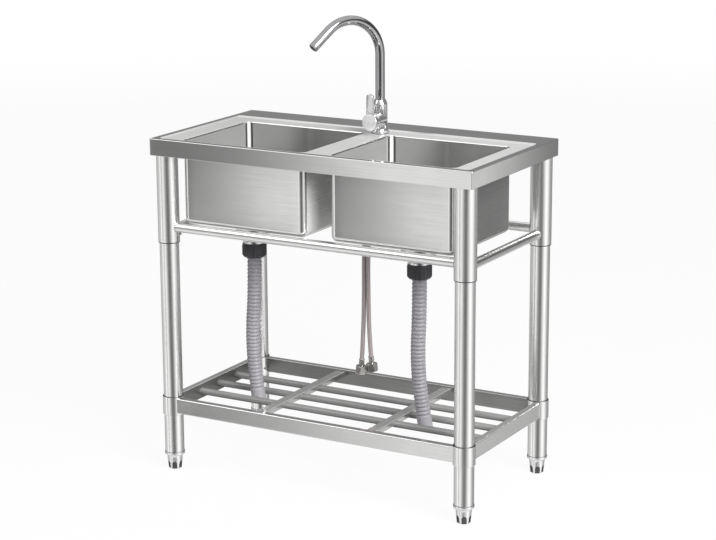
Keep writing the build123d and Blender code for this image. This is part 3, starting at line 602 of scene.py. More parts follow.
@dataclass(frozen=True)
class Metal(Finish):
    """A bare or plated metal with grinding marks of a real width."""

    roughness: Span
    grain: Grain = Grain.NONE
    mark_width: float = 2.4       # real ones are 0.1 to 0.3 mm; drawn coarser so that they show
    mark_length: float = 160.0
    cloud_size: float = 90.0      # size of the soft patches that rolling and handling leave
    relief: float = 0.006         # depth of the marks
    scatter: float = 0.0          # share of the light that the ground face scatters all round
    bow: Optional[tuple[Span, Span]] = None   # in x and in y: where flat, and turn per millimetre
    mark_share: float = 0.55      # of the marks in the tone; the patches have the rest
    contrast: Span = (0.3, 0.7)   # tones that are dull and light
    bump: float = 0.35

    def surface(self, graph: Graph) -> Node:
        """Marks and patches vary colour and roughness, and the marks lift the face a little.

        Args:
            graph: The material's nodes.

        Returns:
            The shader.
        """
        add = graph.add
        place = add(COORDINATES).outputs["Object"]
        stretch = [1.0, 1.0, 1.0]
        if self.grain is not Grain.NONE:
            stretch[self.grain.value] = self.mark_width / self.mark_length
        drawn = add("ShaderNodeMapping", {"Vector": place, "Scale": stretch})
        marks = add(NOISE, {"Vector": drawn, "Scale": 1 / (self.mark_width * MM), "Detail": 3.0,
                            "Roughness": 0.6})
        clouds = add(NOISE, {"Vector": place, "Scale": 1 / (self.cloud_size * MM), "Detail": 2.0})
        first, second = (add(MATH, {0: pattern, 1: share}, operation="MULTIPLY") for pattern, share in
                         ((marks, self.mark_share), (clouds, 1 - self.mark_share)))
        tone = add(MATH, {0: first, 1: second}, operation="ADD")
        share = add(RANGE, {0: tone, 1: self.contrast[0], 2: self.contrast[1]})
        colour = self.colour(graph, share)
        relief = {"Height": marks, "Strength": self.bump, "Distance": self.relief * MM}
        if self.bow:
            relief["Normal"] = self.bowed(graph, place)
        rough = add(RANGE, {0: share, 3: self.roughness[1], 4: self.roughness[0]})
        shader = add(PRINCIPLED, {"Metallic": 1.0, "Base Color": colour, "Roughness": rough,
                                  "Normal": add(BUMP, relief)})
        if not self.scatter:
            return shader
        matt = add(DIFFUSE, {"Color": colour})
        return add("ShaderNodeMixShader", {0: self.scatter, 1: shader, 2: matt})

    def bowed(self, graph: Graph, place: Socket) -> Node:
        """The slight bow that pressing leaves in a large flat face, a degree or two over its length.

        Args:
            graph: The material's nodes.
            place: Place on the piece.

        Returns:
            The bowed face's direction.
        """
        at = graph.add("ShaderNodeSeparateXYZ", {0: place}).outputs
        rise = 0.0
        for axis, (flat, turn) in enumerate(self.bow):
            away = graph.add(MATH, {0: at[axis], 1: flat * MM}, operation="SUBTRACT")
            square = graph.add(MATH, {0: away, 1: away}, operation="MULTIPLY")
            bent = graph.add(MATH, {0: square, 1: -turn / MM / 2}, operation="MULTIPLY")
            rise = graph.add(MATH, {0: bent, 1: rise}, operation="ADD")
        return graph.add(BUMP, {"Height": rise, "Strength": 1.0, "Distance": 1.0})


@dataclass(frozen=True)
class Polymer(Finish):
    """A moulded plastic or rubber with a fine moulding texture and soft colour patches."""

    roughness: float
    texture_size: float = 1.6     # spark-eroded mould texture is 0.1 mm; drawn coarser so that it shows
    relief: float = 0.05
    patch_size: float = 30.0
    groove: str = ""              # painted shade colour at the bottom of the grooves, where a piece stores their depth
    contrast: Span = (0.35, 0.65)
    bump: float = 0.3
    gloss_spread: float = 0.06    # how far the texture varies the roughness, either way

    def surface(self, graph: Graph) -> Node:
        """Patches vary the colour, and the texture varies the gloss and lifts the face a little.

        Args:
            graph: The material's nodes.

        Returns:
            The shader.
        """
        add = graph.add
        place = add(COORDINATES).outputs["Object"]
        fine, patches = (add(NOISE, {"Vector": place, "Scale": 1 / (size * MM), "Detail": detail})
                         for size, detail in ((self.texture_size, 2.0), (self.patch_size, 3.0)))
        colour = self.colour(graph, add(RANGE, {0: patches, 1: self.contrast[0], 2: self.contrast[1]}))
        # Darker towards the groove colour where the groove is deep: painted shade.
        if self.groove:
            depth = add("ShaderNodeAttribute", attribute_name="groove").outputs["Fac"]
            colour = add(MIX, {0: depth, 6: colour, 7: linear(self.groove)}, data_type="RGBA").outputs[2]
        bump = add(BUMP, {"Height": fine, "Strength": self.bump, "Distance": self.relief * MM})
        rough = add(RANGE, {0: fine, 3: self.roughness - self.gloss_spread,
                            4: self.roughness + self.gloss_spread})
        return add(PRINCIPLED, {"IOR": 1.5, "Base Color": colour, "Roughness": rough, "Normal": bump})


@dataclass(frozen=True)
class WireBraid(Finish):
    """Stainless wire braid over a reddish hose, woven from flat bundles of wires."""

    bundle: float = 4.0           # real bundles are 1.2 mm wide; drawn coarser so that they show
    bundles_round: int = 4
    wear_size: float = 9.0
    weave_share: float = 0.7      # of the weave in the tone
    wear_share: float = 0.5
    relief: float = 0.4
    bump: float = 0.6

    def surface(self, graph: Graph) -> Node:
        """Two sets of bundles cross, and wear dulls them in places.

        Args:
            graph: The material's nodes.

        Returns:
            The shader.
        """
        add = graph.add
        along, around = (add("ShaderNodeAttribute", attribute_name=name).outputs["Fac"]
                         for name in ("along", "around"))
        run = add(MATH, {0: along, 1: math.pi / self.bundle}, operation="MULTIPLY")
        turn = add(MATH, {0: around, 1: 2 * math.pi * self.bundles_round}, operation="MULTIPLY")
        first, second = (add(MATH, {0: add(MATH, {0: run, 1: turn}, operation=lean)}, operation="SINE")
                         for lean in ("ADD", "SUBTRACT"))
        weave = first
        for operation, other in (("MULTIPLY", second), ("MULTIPLY", 0.5), ("ADD", 0.5)):
            weave = add(MATH, {0: weave, 1: other}, operation=operation)
        place = add(COORDINATES).outputs["Object"]
        wear = add(NOISE, {"Vector": place, "Scale": 1 / (self.wear_size * MM), "Detail": 3.0})
        woven = add(MATH, {0: weave, 1: self.weave_share}, operation="MULTIPLY")
        worn = add(MATH, {0: wear, 1: self.wear_share}, operation="MULTIPLY")
        shade = add(MATH, {0: woven, 1: worn}, operation="ADD", use_clamp=True)
        bump = add(BUMP, {"Height": weave, "Strength": self.bump, "Distance": self.relief * MM})
        return add(PRINCIPLED, {"Metallic": 0.35, "Roughness": 0.38, "Normal": bump,
                                "Base Color": self.colour(graph, shade)})


@dataclass(frozen=True)
class FloorPaint(Finish):
    """The studio's pale matt floor, white to the camera and left out of what metal mirrors."""

    patch_size: float = 1000.0 / 6   # six patches to the metre
    glow: float = 0.94            # share of plain white in the floor that the camera sees
    bounce_loss: float = 0.80     # share of the floor's bounced light that is left out
    fade: Span = (4200.0, 7400.0)    # distances from the middle between which the floor goes

    def surface(self, graph: Graph) -> Node:
        """A matt floor, hushed, made to glow and faded by the kind of ray and the distance.

        Args:
            graph: The material's nodes.

        Returns:
            The shader.
        """
        add = graph.add
        place = add(COORDINATES).outputs["Object"]
        patches = add(NOISE, {"Vector": place, "Scale": 1 / (self.patch_size * MM), "Detail": 2.0})
        path = add("ShaderNodeLightPath").outputs
        reach = add("ShaderNodeVectorMath", {0: place}, operation="LENGTH").outputs["Value"]
        faded = add(RANGE, {0: reach, 1: self.fade[0] * MM, 2: self.fade[1] * MM},
                    interpolation_type="SMOOTHSTEP")
        mirrored = add(MATH, {0: path["Is Glossy Ray"], 1: path["Is Transmission Ray"]}, operation="MAXIMUM")
        dim = add(MATH, {0: path["Is Diffuse Ray"], 1: self.bounce_loss}, operation="MULTIPLY")
        lit = add(MATH, {0: path["Is Camera Ray"], 1: self.glow}, operation="MULTIPLY")
        gone = add(MATH, {0: faded, 1: mirrored}, operation="MAXIMUM")
        shader = add(DIFFUSE, {"Color": self.colour(graph, patches)})
        for share, other in ((dim, add(DIFFUSE, {"Color": (0, 0, 0, 1)})),
                             (lit, add("ShaderNodeEmission", {"Color": (1, 1, 1, 1), "Strength": 1.0})),
                             (gone, add("ShaderNodeBsdfTransparent"))):
            shader = add("ShaderNodeMixShader", {0: share, 1: shader, 2: other})
        return shader


LONG, DEEP, TALL, PLAIN = Grain.LENGTHWISE, Grain.DEPTHWISE, Grain.UPRIGHT, Grain.NONE
# Cold-rolled 304 sheet, belt ground left to right: soft streaks, a satin mirror.
DECK_STEEL = Metal("belt_ground_deck_sheet", "#dededd", "#d3d3d2", (0.09, 0.13), LONG,
                   bow=((0.0, 0.4e-5), (0.0, 8e-5)))
# The deck's field and the bowls' insides are ground once more: they scatter part of the light.
FIELD_STEEL = Metal("reground_field_sheet", "#eeeeed", "#e2e2e1", (0.30, 0.38), LONG, scatter=0.7)
INNER_STEEL = Metal("reground_bowl_inside", "#dadad9", "#cececd", (0.10, 0.15), LONG, scatter=0.14)
INNER_WALL = Metal("reground_bowl_left_wall", "#dadad9", "#cececd", (0.14, 0.20), DEEP, scatter=0.42)
# Along the bowls' upright inner corners: a painted highlight between two painted dark lines, standing in for
# the corner's reflection.
BUFFED_CORNER = Metal("buffed_bowl_corner", "#f8f8f7", "#f0f0ef", (0.30, 0.40), TALL, scatter=0.8)
DIE_LINE = Metal("dull_die_line", "#626261", "#505050", (0.35, 0.45), TALL, scatter=0.5)
# The bowls' right walls outside: on the left bowl a pale matt copy of the sheet, painted light; on the right
# bowl a dark copy, painted shade.
SCOURED_SIDE = Metal("scoured_bowl_side", "#f2f2f1", "#e8e8e7", (0.22, 0.30), DEEP, 3.0, 120.0, scatter=0.75)
ANNEALED_SIDE = Metal("annealed_bowl_side", "#8e8e8d", "#808080", (0.26, 0.34), DEEP, 3.0, 120.0, scatter=0.2)
# Pressed 304 sheet, left as it comes from the press.
LEFT_BOWL_STEEL = Metal("pressed_left_bowl_sheet", "#dddddc", "#d2d2d1", (0.10, 0.15), LONG, 3.0, 120.0,
                        scatter=0.12, bow=((-1096.0, 2e-5), (-536.0, 1e-4)))
RIGHT_BOWL_STEEL = Metal("pressed_right_bowl_sheet", "#dddddc", "#d2d2d1", (0.10, 0.15), LONG, 3.0, 120.0,
                         scatter=0.12, bow=((1028.0, 2e-5), (-536.0, 1e-4)))
# Welded 304 tube with a satin polish that draws every reflection out sideways: standing, and lying down.
TUBE_STEEL = Metal("satin_round_tube", "#e8e8e7", "#dededd", (0.23, 0.28), TALL, 1.6, 220.0)
CROSS_TUBE = Metal("satin_cross_tube", "#e4e4e3", "#d8d8d7", (0.24, 0.31), LONG, 1.6, 220.0)
SIDE_TUBE = Metal("satin_side_tube", "#e4e4e3", "#d8d8d7", (0.24, 0.31), DEEP, 1.6, 220.0)
# The slats are a darker, mostly matt copy of the tube steel: painted shade for the shelf under the bowls.
SLAT_TUBE = Metal("dull_slat_tube", "#a6a6a5", "#969695", (0.30, 0.38), LONG, 1.6, 220.0, scatter=0.85)
# Folded 304 strip with the mill's satin finish.
RAIL_STEEL = Metal("folded_rail_strip", "#dededd", "#d1d1d0", (0.13, 0.19), LONG, 2.2, 140.0)
SIDE_RAIL = Metal("folded_side_strip", "#dededd", "#d1d1d0", (0.15, 0.22), DEEP, 2.2, 140.0, scatter=0.2)
# The rails' inner faces are a darker copy of the strip: painted shade. The tube ends carry a dark band where
# they meet other parts: painted shade at the joints.
RAIL_INSIDE = Metal("unpolished_rail_inside", "#8f8f8e", "#7a7a79", (0.26, 0.36), LONG, 2.2, 140.0,
                    scatter=0.25)
TUBE_END = Metal("burnished_tube_end", "#4c4c4b", "#3a3a39", (0.35, 0.45), PLAIN, 2.0, 2.0, 10.0)
# Weld beads, pickled: dull and slightly yellow.
WELD_STEEL = Metal("pickled_weld", "#b9b6b0", "#8f8c87", (0.30, 0.45), PLAIN, 1.5, 1.5, 12.0)
# Zinc die casting, nickel and chrome plated; its flutes are coloured dark: painted shade in the recesses.
FOOT_CHROME = Metal("plated_die_casting", "#ececed", "#d8d8da", (0.14, 0.24), PLAIN, 3.0, 3.0, 18.0, 0.03,
                    0.2)
FLUTE_METAL = Metal("unplated_flute", "#707070", "#505050", (0.35, 0.50), PLAIN, 2.0, 2.0, 9.0, 0.05)
# Brass with a dark nickel plate under thin chrome: a mirror with almost no texture.
TAP_CHROME = Metal("thin_chrome_plate", "#a4a4a5", "#949496", (0.05, 0.10), PLAIN, 6.0, 6.0, 40.0, 0.004)
# The mixer's body is plated thicker and buffed. The cap's front face is a pale, mostly matt copy of the
# chrome: painted light in place of its reflection.
BODY_CHROME = Metal("buffed_chrome_body", "#dcdcdd", "#cacacb", (0.06, 0.12), PLAIN, 6.0, 6.0, 30.0, 0.006,
                    0.14)
CAP_CHROME = Metal("satin_chrome_cap", "#f4f4f5", "#d2d2d4", (0.18, 0.26), PLAIN, 3.0, 3.0, 9.0, 0.006, 0.72)
# Nickel plate on the hexagons, slightly warm; pressed and polished strainer sheet; machined screws.
NUT_NICKEL = Metal("nickel_plate", "#d6d3cf", "#b5b2ae", (0.14, 0.26), PLAIN, 2.0, 2.0, 12.0)
STRAINER_STEEL = Metal("polished_strainer_sheet", "#dededd", "#c6c6c5", (0.12, 0.22), PLAIN, 2.0, 2.0, 25.0)
SCREW_STEEL = Metal("machined_screw_steel", "#a9a9a8", "#8b8b8a", (0.28, 0.40), PLAIN, 1.0, 1.0, 6.0)
# Turned brass, yellow with fine rings; a stamped washer, grey and dull.
BRASS = Metal("machined_brass", "#d9b978", "#b9954f", (0.22, 0.34), TALL, 1.0, 10.0, 12.0)
WASHER_STEEL = Metal("stamped_washer_steel", "#bdbdbc", "#9f9f9e", (0.30, 0.42), PLAIN, 1.5, 1.5, 14.0)
# Polypropylene and nylon, moulded black with a fine texture; EPDM rubber, matt black.
BLACK_PP = Polymer("moulded_black_polypropylene", "#4a4a4e", "#38383c", 0.42)
BLACK_NYLON = Polymer("moulded_black_nylon", "#1d1d1f", "#141416", 0.5)
RUBBER = Polymer("pressed_black_rubber", "#1b1b1b", "#101010", 0.7)
# Acetal, white and slightly shiny; grey polypropylene round the outlet.
ACETAL = Polymer("moulded_white_acetal", "#e6e5df", "#d6d5cf", 0.35)
GREY_PP = Polymer("moulded_grey_polypropylene", "#a3a3a6", "#8d8d90", 0.4)
# Corrugated soft PVC, grey with a breath of lilac; the grooves are darkened: painted shade.
HOSE_PVC = Polymer("corrugated_grey_pvc", "#bdbabf", "#b0adb3", 0.42, 2.0, 0.06, 45.0, "#a3a0a7")
BRAID = WireBraid("wire_braid", "#d6cccc", "#a99799")
# Emulsion paint, nearly white, in faint patches.
FLOOR_PAINT = FloorPaint("pale_studio_floor", "#fafafa", "#f4f4f4")


# ---------------------------------------------------------------- studio
@dataclass
class Studio:
    """Camera, floor, lamps and the white room with its dark flags."""

    focal_px: float = 2133.2
    image_px: float = 716.0
    sensor: float = 36.0
    clip: Span = (0.05, 100.0)      # in metres
    azimuth: float = 29.635         # degrees round from the front towards the right
    elevation: float = 14.005
    roll: float = -0.314
    distance: float = 4920.8
    aim: Point = (0.0, 0.0, 400.0)
    offset: Span = (8.963, 80.65)   # of the camera from the aim's sight line, right and up
    # The room by azimuth, in degrees from the front towards the right: just below the horizon, which
    # upright faces mirror, and just above it, which flat tops and the middle of lying tubes mirror.
    low: tuple[Span, ...] = (
        (-180.0, 0.34), (-120.0, 0.48), (-95.0, 0.66), (-68.0, 0.70), (-52.0, 1.22), (-39.5, 1.45),
        (-38.0, 0.30), (-36.5, 0.15), (-34.0, 0.20), (-32.5, 0.32), (-31.2, 0.54), (-29.8, 0.92),
        (-28.4, 1.16), (-27.0, 1.02), (-26.0, 0.86), (-22.0, 1.35), (-8.0, 1.02), (4.0, 0.48), (17.0, 0.17),
        (30.0, 0.05), (42.0, 0.14), (55.0, 0.52), (67.0, 0.98), (82.0, 1.42), (96.0, 1.30), (127.0, 0.50),
        (142.0, 0.24), (151.5, 0.86), (153.5, 0.74), (155.0, 0.44), (157.4, 0.22), (180.0, 0.34))
    high: tuple[Span, ...] = (
        (-180.0, 0.24), (-150.0, 0.28), (-110.0, 0.24), (-60.0, 0.12), (-12.0, 0.10), (20.0, 0.45),
        (50.0, 0.50), (110.0, 0.14), (158.0, 0.12), (180.0, 0.26))
    above: float = 1.12
    below: Span = (1.15, 0.55)      # under the horizon band, and straight down
    # Heights of a ray's direction between which the low band gives way to the high one, to the room
    # above, to the room below and to the one straight down.
    blends: tuple[Span, ...] = ((-0.07, 0.05), (0.40, 0.62), (-0.40, -0.56), (-0.68, -0.88))
    fill: float = 0.26              # how bright the room looks to matt surfaces
    floor_size: float = 16000.0
    floor_squares: int = 8

    def build(self) -> None:
        """Set the camera, the room, the floor and the lamps."""
        self.camera()
        self.world()
        self.floor()
        self.lamp("right_softbox", (3100, -1650, 2410), (0, 0, 700), 2200, 200.0)
        self.lamp("left_softbox", (-1900, -2200, 2600), (0, 0, 600), 2000, 24.0)
        bpy.context.scene.view_settings.view_transform = "Standard"

    def camera(self) -> None:
        """Place the camera as solved from the photograph."""
        a, e, r = (math.radians(v) for v in (self.azimuth, self.elevation, self.roll))
        back = Vector((math.sin(a) * math.cos(e), -math.cos(a) * math.cos(e), math.sin(e)))
        right = Vector((math.cos(a), math.sin(a), 0))
        up = back.cross(right)
        place = Vector(self.aim) + back * self.distance + right * self.offset[0] + up * self.offset[1]
        data = bpy.data.cameras.new("photo_camera")
        data.sensor_width = self.sensor
        data.lens = self.focal_px * self.sensor / self.image_px
        data.clip_start, data.clip_end = self.clip
        camera = link(bpy.data.objects.new("photo_camera", data))
        rolled = (right * math.cos(r) + up * math.sin(r), up * math.cos(r) - right * math.sin(r), back)
        camera.matrix_world = Matrix.Translation(place * MM) @ Matrix(rolled).transposed().to_4x4()
        bpy.context.scene.camera = camera

    def world(self) -> None:
        """White to the camera; to metal a white room with dark flags; to matt surfaces an even fill."""
        world = bpy.data.worlds.new("studio_room")
        bpy.context.scene.world = world
        world.use_nodes = True
        graph = Graph(world.node_tree)
        add = graph.add
        way = add("ShaderNodeSeparateXYZ", {0: add(COORDINATES).outputs["Generated"]}).outputs
        ahead = add(MATH, {0: way[1], 1: -1.0}, operation="MULTIPLY")
        turn = way[0]
        for operation, other in (("ARCTAN2", ahead), ("MULTIPLY", 0.5 / math.pi), ("ADD", 0.5)):
            turn = add(MATH, {0: turn, 1: other}, operation=operation)
        seen, high = (self.band(graph, turn, stops) for stops in (self.low, self.high))
        for (start, end), target in zip(self.blends, (high, self.above, *self.below)):
            share = add(RANGE, {0: way[2], 1: start, 2: end}, interpolation_type="SMOOTHSTEP")
            seen = add(MIX, {0: share, 2: seen, 3: target})
        path = add("ShaderNodeLightPath").outputs
        mirrored = add(MATH, {0: path["Is Glossy Ray"], 1: path["Is Transmission Ray"]}, operation="MAXIMUM")
        level = add(MIX, {0: mirrored, 2: self.fill, 3: seen})
        level = add(MIX, {0: path["Is Camera Ray"], 2: level, 3: 1.0})
        sky = add("ShaderNodeBackground", {"Color": (1, 1, 1, 1), "Strength": level})
        add("ShaderNodeOutputWorld", {"Surface": sky})

    def band(self, graph: Graph, turn: Node, stops: tuple[Span, ...]) -> Node:
        """One band of the room as a ramp round the horizon.

        Args:
            graph: The world's nodes.
            turn: Azimuth as 0 to 1, from behind, through the left, the front and the right.
            stops: Azimuths in degrees with the brightness there.

        Returns:
            The brightness.
        """
        peak = max(level for _, level in stops)
        ramp = graph.add("ShaderNodeValToRGB", {0: turn})
        marks = ramp.color_ramp.elements
        while len(marks) > 1:
            marks.remove(marks[-1])
        for i, (azimuth, level) in enumerate(stops):
            mark = marks[0] if i == 0 else marks.new((azimuth + 180) / 360)
            mark.position = (azimuth + 180) / 360
            mark.color = (level / peak,) * 3 + (1.0,)
        return graph.add(MATH, {0: ramp, 1: peak}, operation="MULTIPLY")

    def floor(self) -> None:
        """Pale floor that keeps a soft shadow, fades into the white room and is not seen in metal."""
        ground = Shape()
        squares = self.floor_squares
        steps = [self.floor_size * (i / squares - 0.5) for i in range(squares + 1)]
        rows = [ground.ring([(x, y, 0) for x in steps]) for y in steps]
        for low, high in zip(rows, rows[1:]):
            ground.faces += [(low[i], low[i + 1], high[i + 1], high[i]) for i in range(squares)]
        ground.piece("studio_floor", FLOOR_PAINT)

    def lamp(self, name: str, place: Sequence[float], aim: Sequence[float], size: float,
             watts: float) -> None:
        """Hang a square softbox.

        Args:
            name: Its name.
            place: Its middle.
            aim: The point that it faces.
            size: Its side.
            watts: Its power.
        """
        data = bpy.data.lights.new(name, "AREA")
        data.size = size * MM
        data.energy = watts
        box = link(bpy.data.objects.new(name, data))
        turn = (Vector(aim) - Vector(place)).to_track_quat("-Z", "Y")
        box.matrix_world = Matrix.Translation(Vector(place) * MM) @ turn.to_matrix().to_4x4()


# ---------------------------------------------------------------- top
@dataclass
class DeckTop:
    """Pressed top: rim, wide back ledge, recessed field with the two bowl mouths, apron with a hem."""

    half: Span = (410.0, 217.5)
    top: float = 790.0
    bottom: float = 751.0
    field: float = 787.0
    under: float = 785.8
    rim: float = 15.0
    ledge: float = 79.0
    corner: float = 3.0
    least_corner: float = 1.2
    fold_corner: float = 6.0        # of the rim's inner wall, underneath
    edge: float = 1.3
    edge_steps: int = 5
    hem_rise: float = 10.0
    lip: float = 3.0
    lip_turns: tuple[int, ...] = (0, 22, 45, 68, 90)
    tap_hole_r: float = 17.0
    # The pressed slope from the field up to the rim: inset, rise and corner radius.
    slope: tuple[Point, ...] = ((19.2, 0.0, 4.5), (18.2, 0.12, 5.0), (17.0, 0.75, 6.0), (15.9, 2.25, 8.0),
                                (14.9, 2.88, 9.0), (13.8, 3.0, 10.0))

    def outline(self, inset: float, z: float, back: float = 0.0, corner: Optional[float] = None) -> Ring:
        """The deck's outline, drawn in.

        Args:
            inset: How far it is drawn in.
            z: Height.
            back: How much further it is drawn in at the back.
            corner: Radius of the corners; None lets it follow the inset.

        Returns:
            The points.
        """
        radius = max(self.corner - inset, self.least_corner) if corner is None else corner
        x, y = self.half
        return rounded_rect((inset - x, x - inset), (inset - y, y - inset - back), radius, z)

    def mouth(self, x: Span, grow: float, z: float) -> Ring:
        """A bowl mouth's outline, grown outwards."""
        return rounded_rect((x[0] - grow, x[1] + grow), (BOWL_Y[0] - grow, BOWL_Y[1] + grow),
                            BOWL_CORNER + grow, z, 8, 8)

    def build(self) -> None:
        """Build the sheet as one closed shell."""
        shell = Shape()
        back = self.ledge - self.rim
        rings = [self.outline(inset, self.field + rise, back, corner) for inset, rise, corner in self.slope]
        for step in range(self.edge_steps + 1):
            turn = math.pi / 2 * step / self.edge_steps
            rings.append(self.outline(self.edge * (1 - math.sin(turn)),
                                      self.top - self.edge * (1 - math.cos(turn))))
        hem, wall, underside = 2 * SHEET, self.rim - SHEET, self.top - SHEET
        apron = ((0.0, 1.2), (0.35, 0.35), (1.2, 0.0), (hem - 0.3, 0.2), (hem, 0.8), (hem, self.hem_rise),
                 (SHEET, self.hem_rise))
        rings += [self.outline(inset, self.bottom + rise) for inset, rise in apron]
        rings += [self.outline(SHEET, underside), self.outline(wall, underside, back, self.fold_corner),
                  self.outline(wall, self.under, back, self.fold_corner)]
        lofts = [shell.loft(rings)]
        for x in (LEFT_X, RIGHT_X):
            drop = [self.mouth(x, self.lip * (1 - math.sin(turn)),
                               self.field - self.lip * (1 - math.cos(turn)))
                    for turn in map(math.radians, self.lip_turns)]
            drop += [self.mouth(x, 0.0, self.field - self.lip - 0.6), self.mouth(x, SHEET, self.under - 1.8),
                     self.mouth(x, SHEET, self.under)]
            lofts.append(shell.loft(drop))
        lofts.append(shell.loft([[p + Vector((*TAP, z)) for p in circle(48, self.tap_hole_r)]
                                 for z in (self.field, self.under)]))
        piece = shell.piece("pressed_deck", DECK_STEEL, 35.0,
                            fill=([made[0] for made in lofts], [made[-1] for made in lofts]))
        refinish(piece, FIELD_STEEL, lambda at, way: way.z > 0.9 and at.z < self.field + 0.6)
        settle(weighted(piece), "deck_steel", "sink_deck")


@dataclass
class Bowl:
    """Pressed bowl: slightly crowned walls, rounded corners, a round dip with the strainer's hole."""

    name: str
    x: Span
    drain: Span
    steel: Metal
    side: Metal
    y: Span = BOWL_Y
    mouth: float = 784.0
    flange: Span = (784.6, 785.8)
    flange_width: float = 6.0
    flange_start: float = 3.2
    floor: float = 593.2
    floor_edge: float = 13.5
    crown: float = 0.7
    wall_steps: int = 10
    dip: Span = (57.0, 590.7)       # radius and height
    hole: float = 43.0
    upright: float = 0.3            # a wall's direction is no steeper than this
    die_line: Span = (3.0, 87.0)    # degrees round a corner between which the painted dark line lies
    buffed: Span = (34.0, 68.0)     # and between which the painted highlight lies
    square: float = 0.98            # a flat side wall faces its own side at least this straight

    def ring(self, grow: float, z: float, crown: float = 0.0) -> Ring:
        """The bowl's plan, grown outwards, at one height."""
        return rounded_rect((self.x[0] - grow, self.x[1] + grow), (self.y[0] - grow, self.y[1] + grow),
                            max(BOWL_CORNER + grow, 0.5), z, 8, 14, crown)

    def skin(self, grow: float, top: float, floor: float) -> list[Ring]:
        """Rings of one skin from its mouth down to the edge of its flat floor.

        Args:
            grow: How far the skin lies outside the inner one.
            top: Height of its mouth.
            floor: Height of its floor.

        Returns:
            The rings.
        """
        radius = self.floor_edge + grow
        turn_z = floor + radius
        rings = []
        for step in range(self.wall_steps + 1):
            t = step / self.wall_steps
            rings.append(self.ring(grow, top + (turn_z - top) * t, self.crown * math.sin(math.pi * t) ** 0.7))
        for a in map(math.radians, (18, 36, 54, 72, 90)):
            rings.append(self.ring(grow - radius * (1 - math.cos(a)), turn_z - radius * math.sin(a)))
        return rings

    def inside(self, at: Vector, way: Vector) -> bool:
        """Whether a face belongs to the inner skin."""
        middle = Vector((sum(self.x) / 2, sum(self.y) / 2, self.mouth))
        return (middle - at).dot(way) > 0 and at.z > self.dip[1] - 0.1

    def rounds(self, way: Vector, degrees: Span) -> bool:
        """Whether an upright face lies between two angles round its corner."""
        turn = math.degrees(math.atan2(abs(way.y), abs(way.x)))
        return abs(way.z) < self.upright and degrees[0] < turn < degrees[1]

    def build(self) -> None:
        """Build inside and outside skins, joined at the drain hole and the flange."""
        inner = self.skin(0.0, self.mouth, self.floor)
        outer = self.skin(SHEET, self.flange[0], self.floor - SHEET)
        radius, low = self.dip
        dip = ((radius + 2.2, self.floor), (radius + 0.8, self.floor - 0.3), (radius, self.floor - 1.1),
               (radius, low), (self.hole, low), (self.hole, low - SHEET), (radius + SHEET, low - SHEET),
               (radius + SHEET, self.floor - SHEET))
        hollow = [on_circle(inner[-1], self.drain, r, z) for r, z in dip]
        seat = [self.ring(self.flange_width, self.flange[0]), self.ring(self.flange_width, self.flange[1]),
                self.ring(self.flange_start, self.flange[1])]
        piece = lofted(self.name + "_pressed", self.steel, inner + hollow + outer[::-1] + seat, 35.0)
        centre = sum(self.x) / 2
        refinish(piece, INNER_STEEL, self.inside)
        # The upright inner corners get a painted dark line with a painted highlight in its middle.
        for steel, degrees in ((DIE_LINE, self.die_line), (BUFFED_CORNER, self.buffed)):
            refinish(piece, steel, lambda at, way: self.inside(at, way) and self.rounds(way, degrees))
        refinish(piece, INNER_WALL, lambda at, way: way.x > self.square and at.x < centre)
        # The right wall outside gets this bowl's side finish: painted light on the left bowl, painted shade
        # on the right one.
        refinish(piece, self.side, lambda at, way: way.x > self.square and at.x > centre)
        settle(weighted(piece), "bowl_steel", self.name)


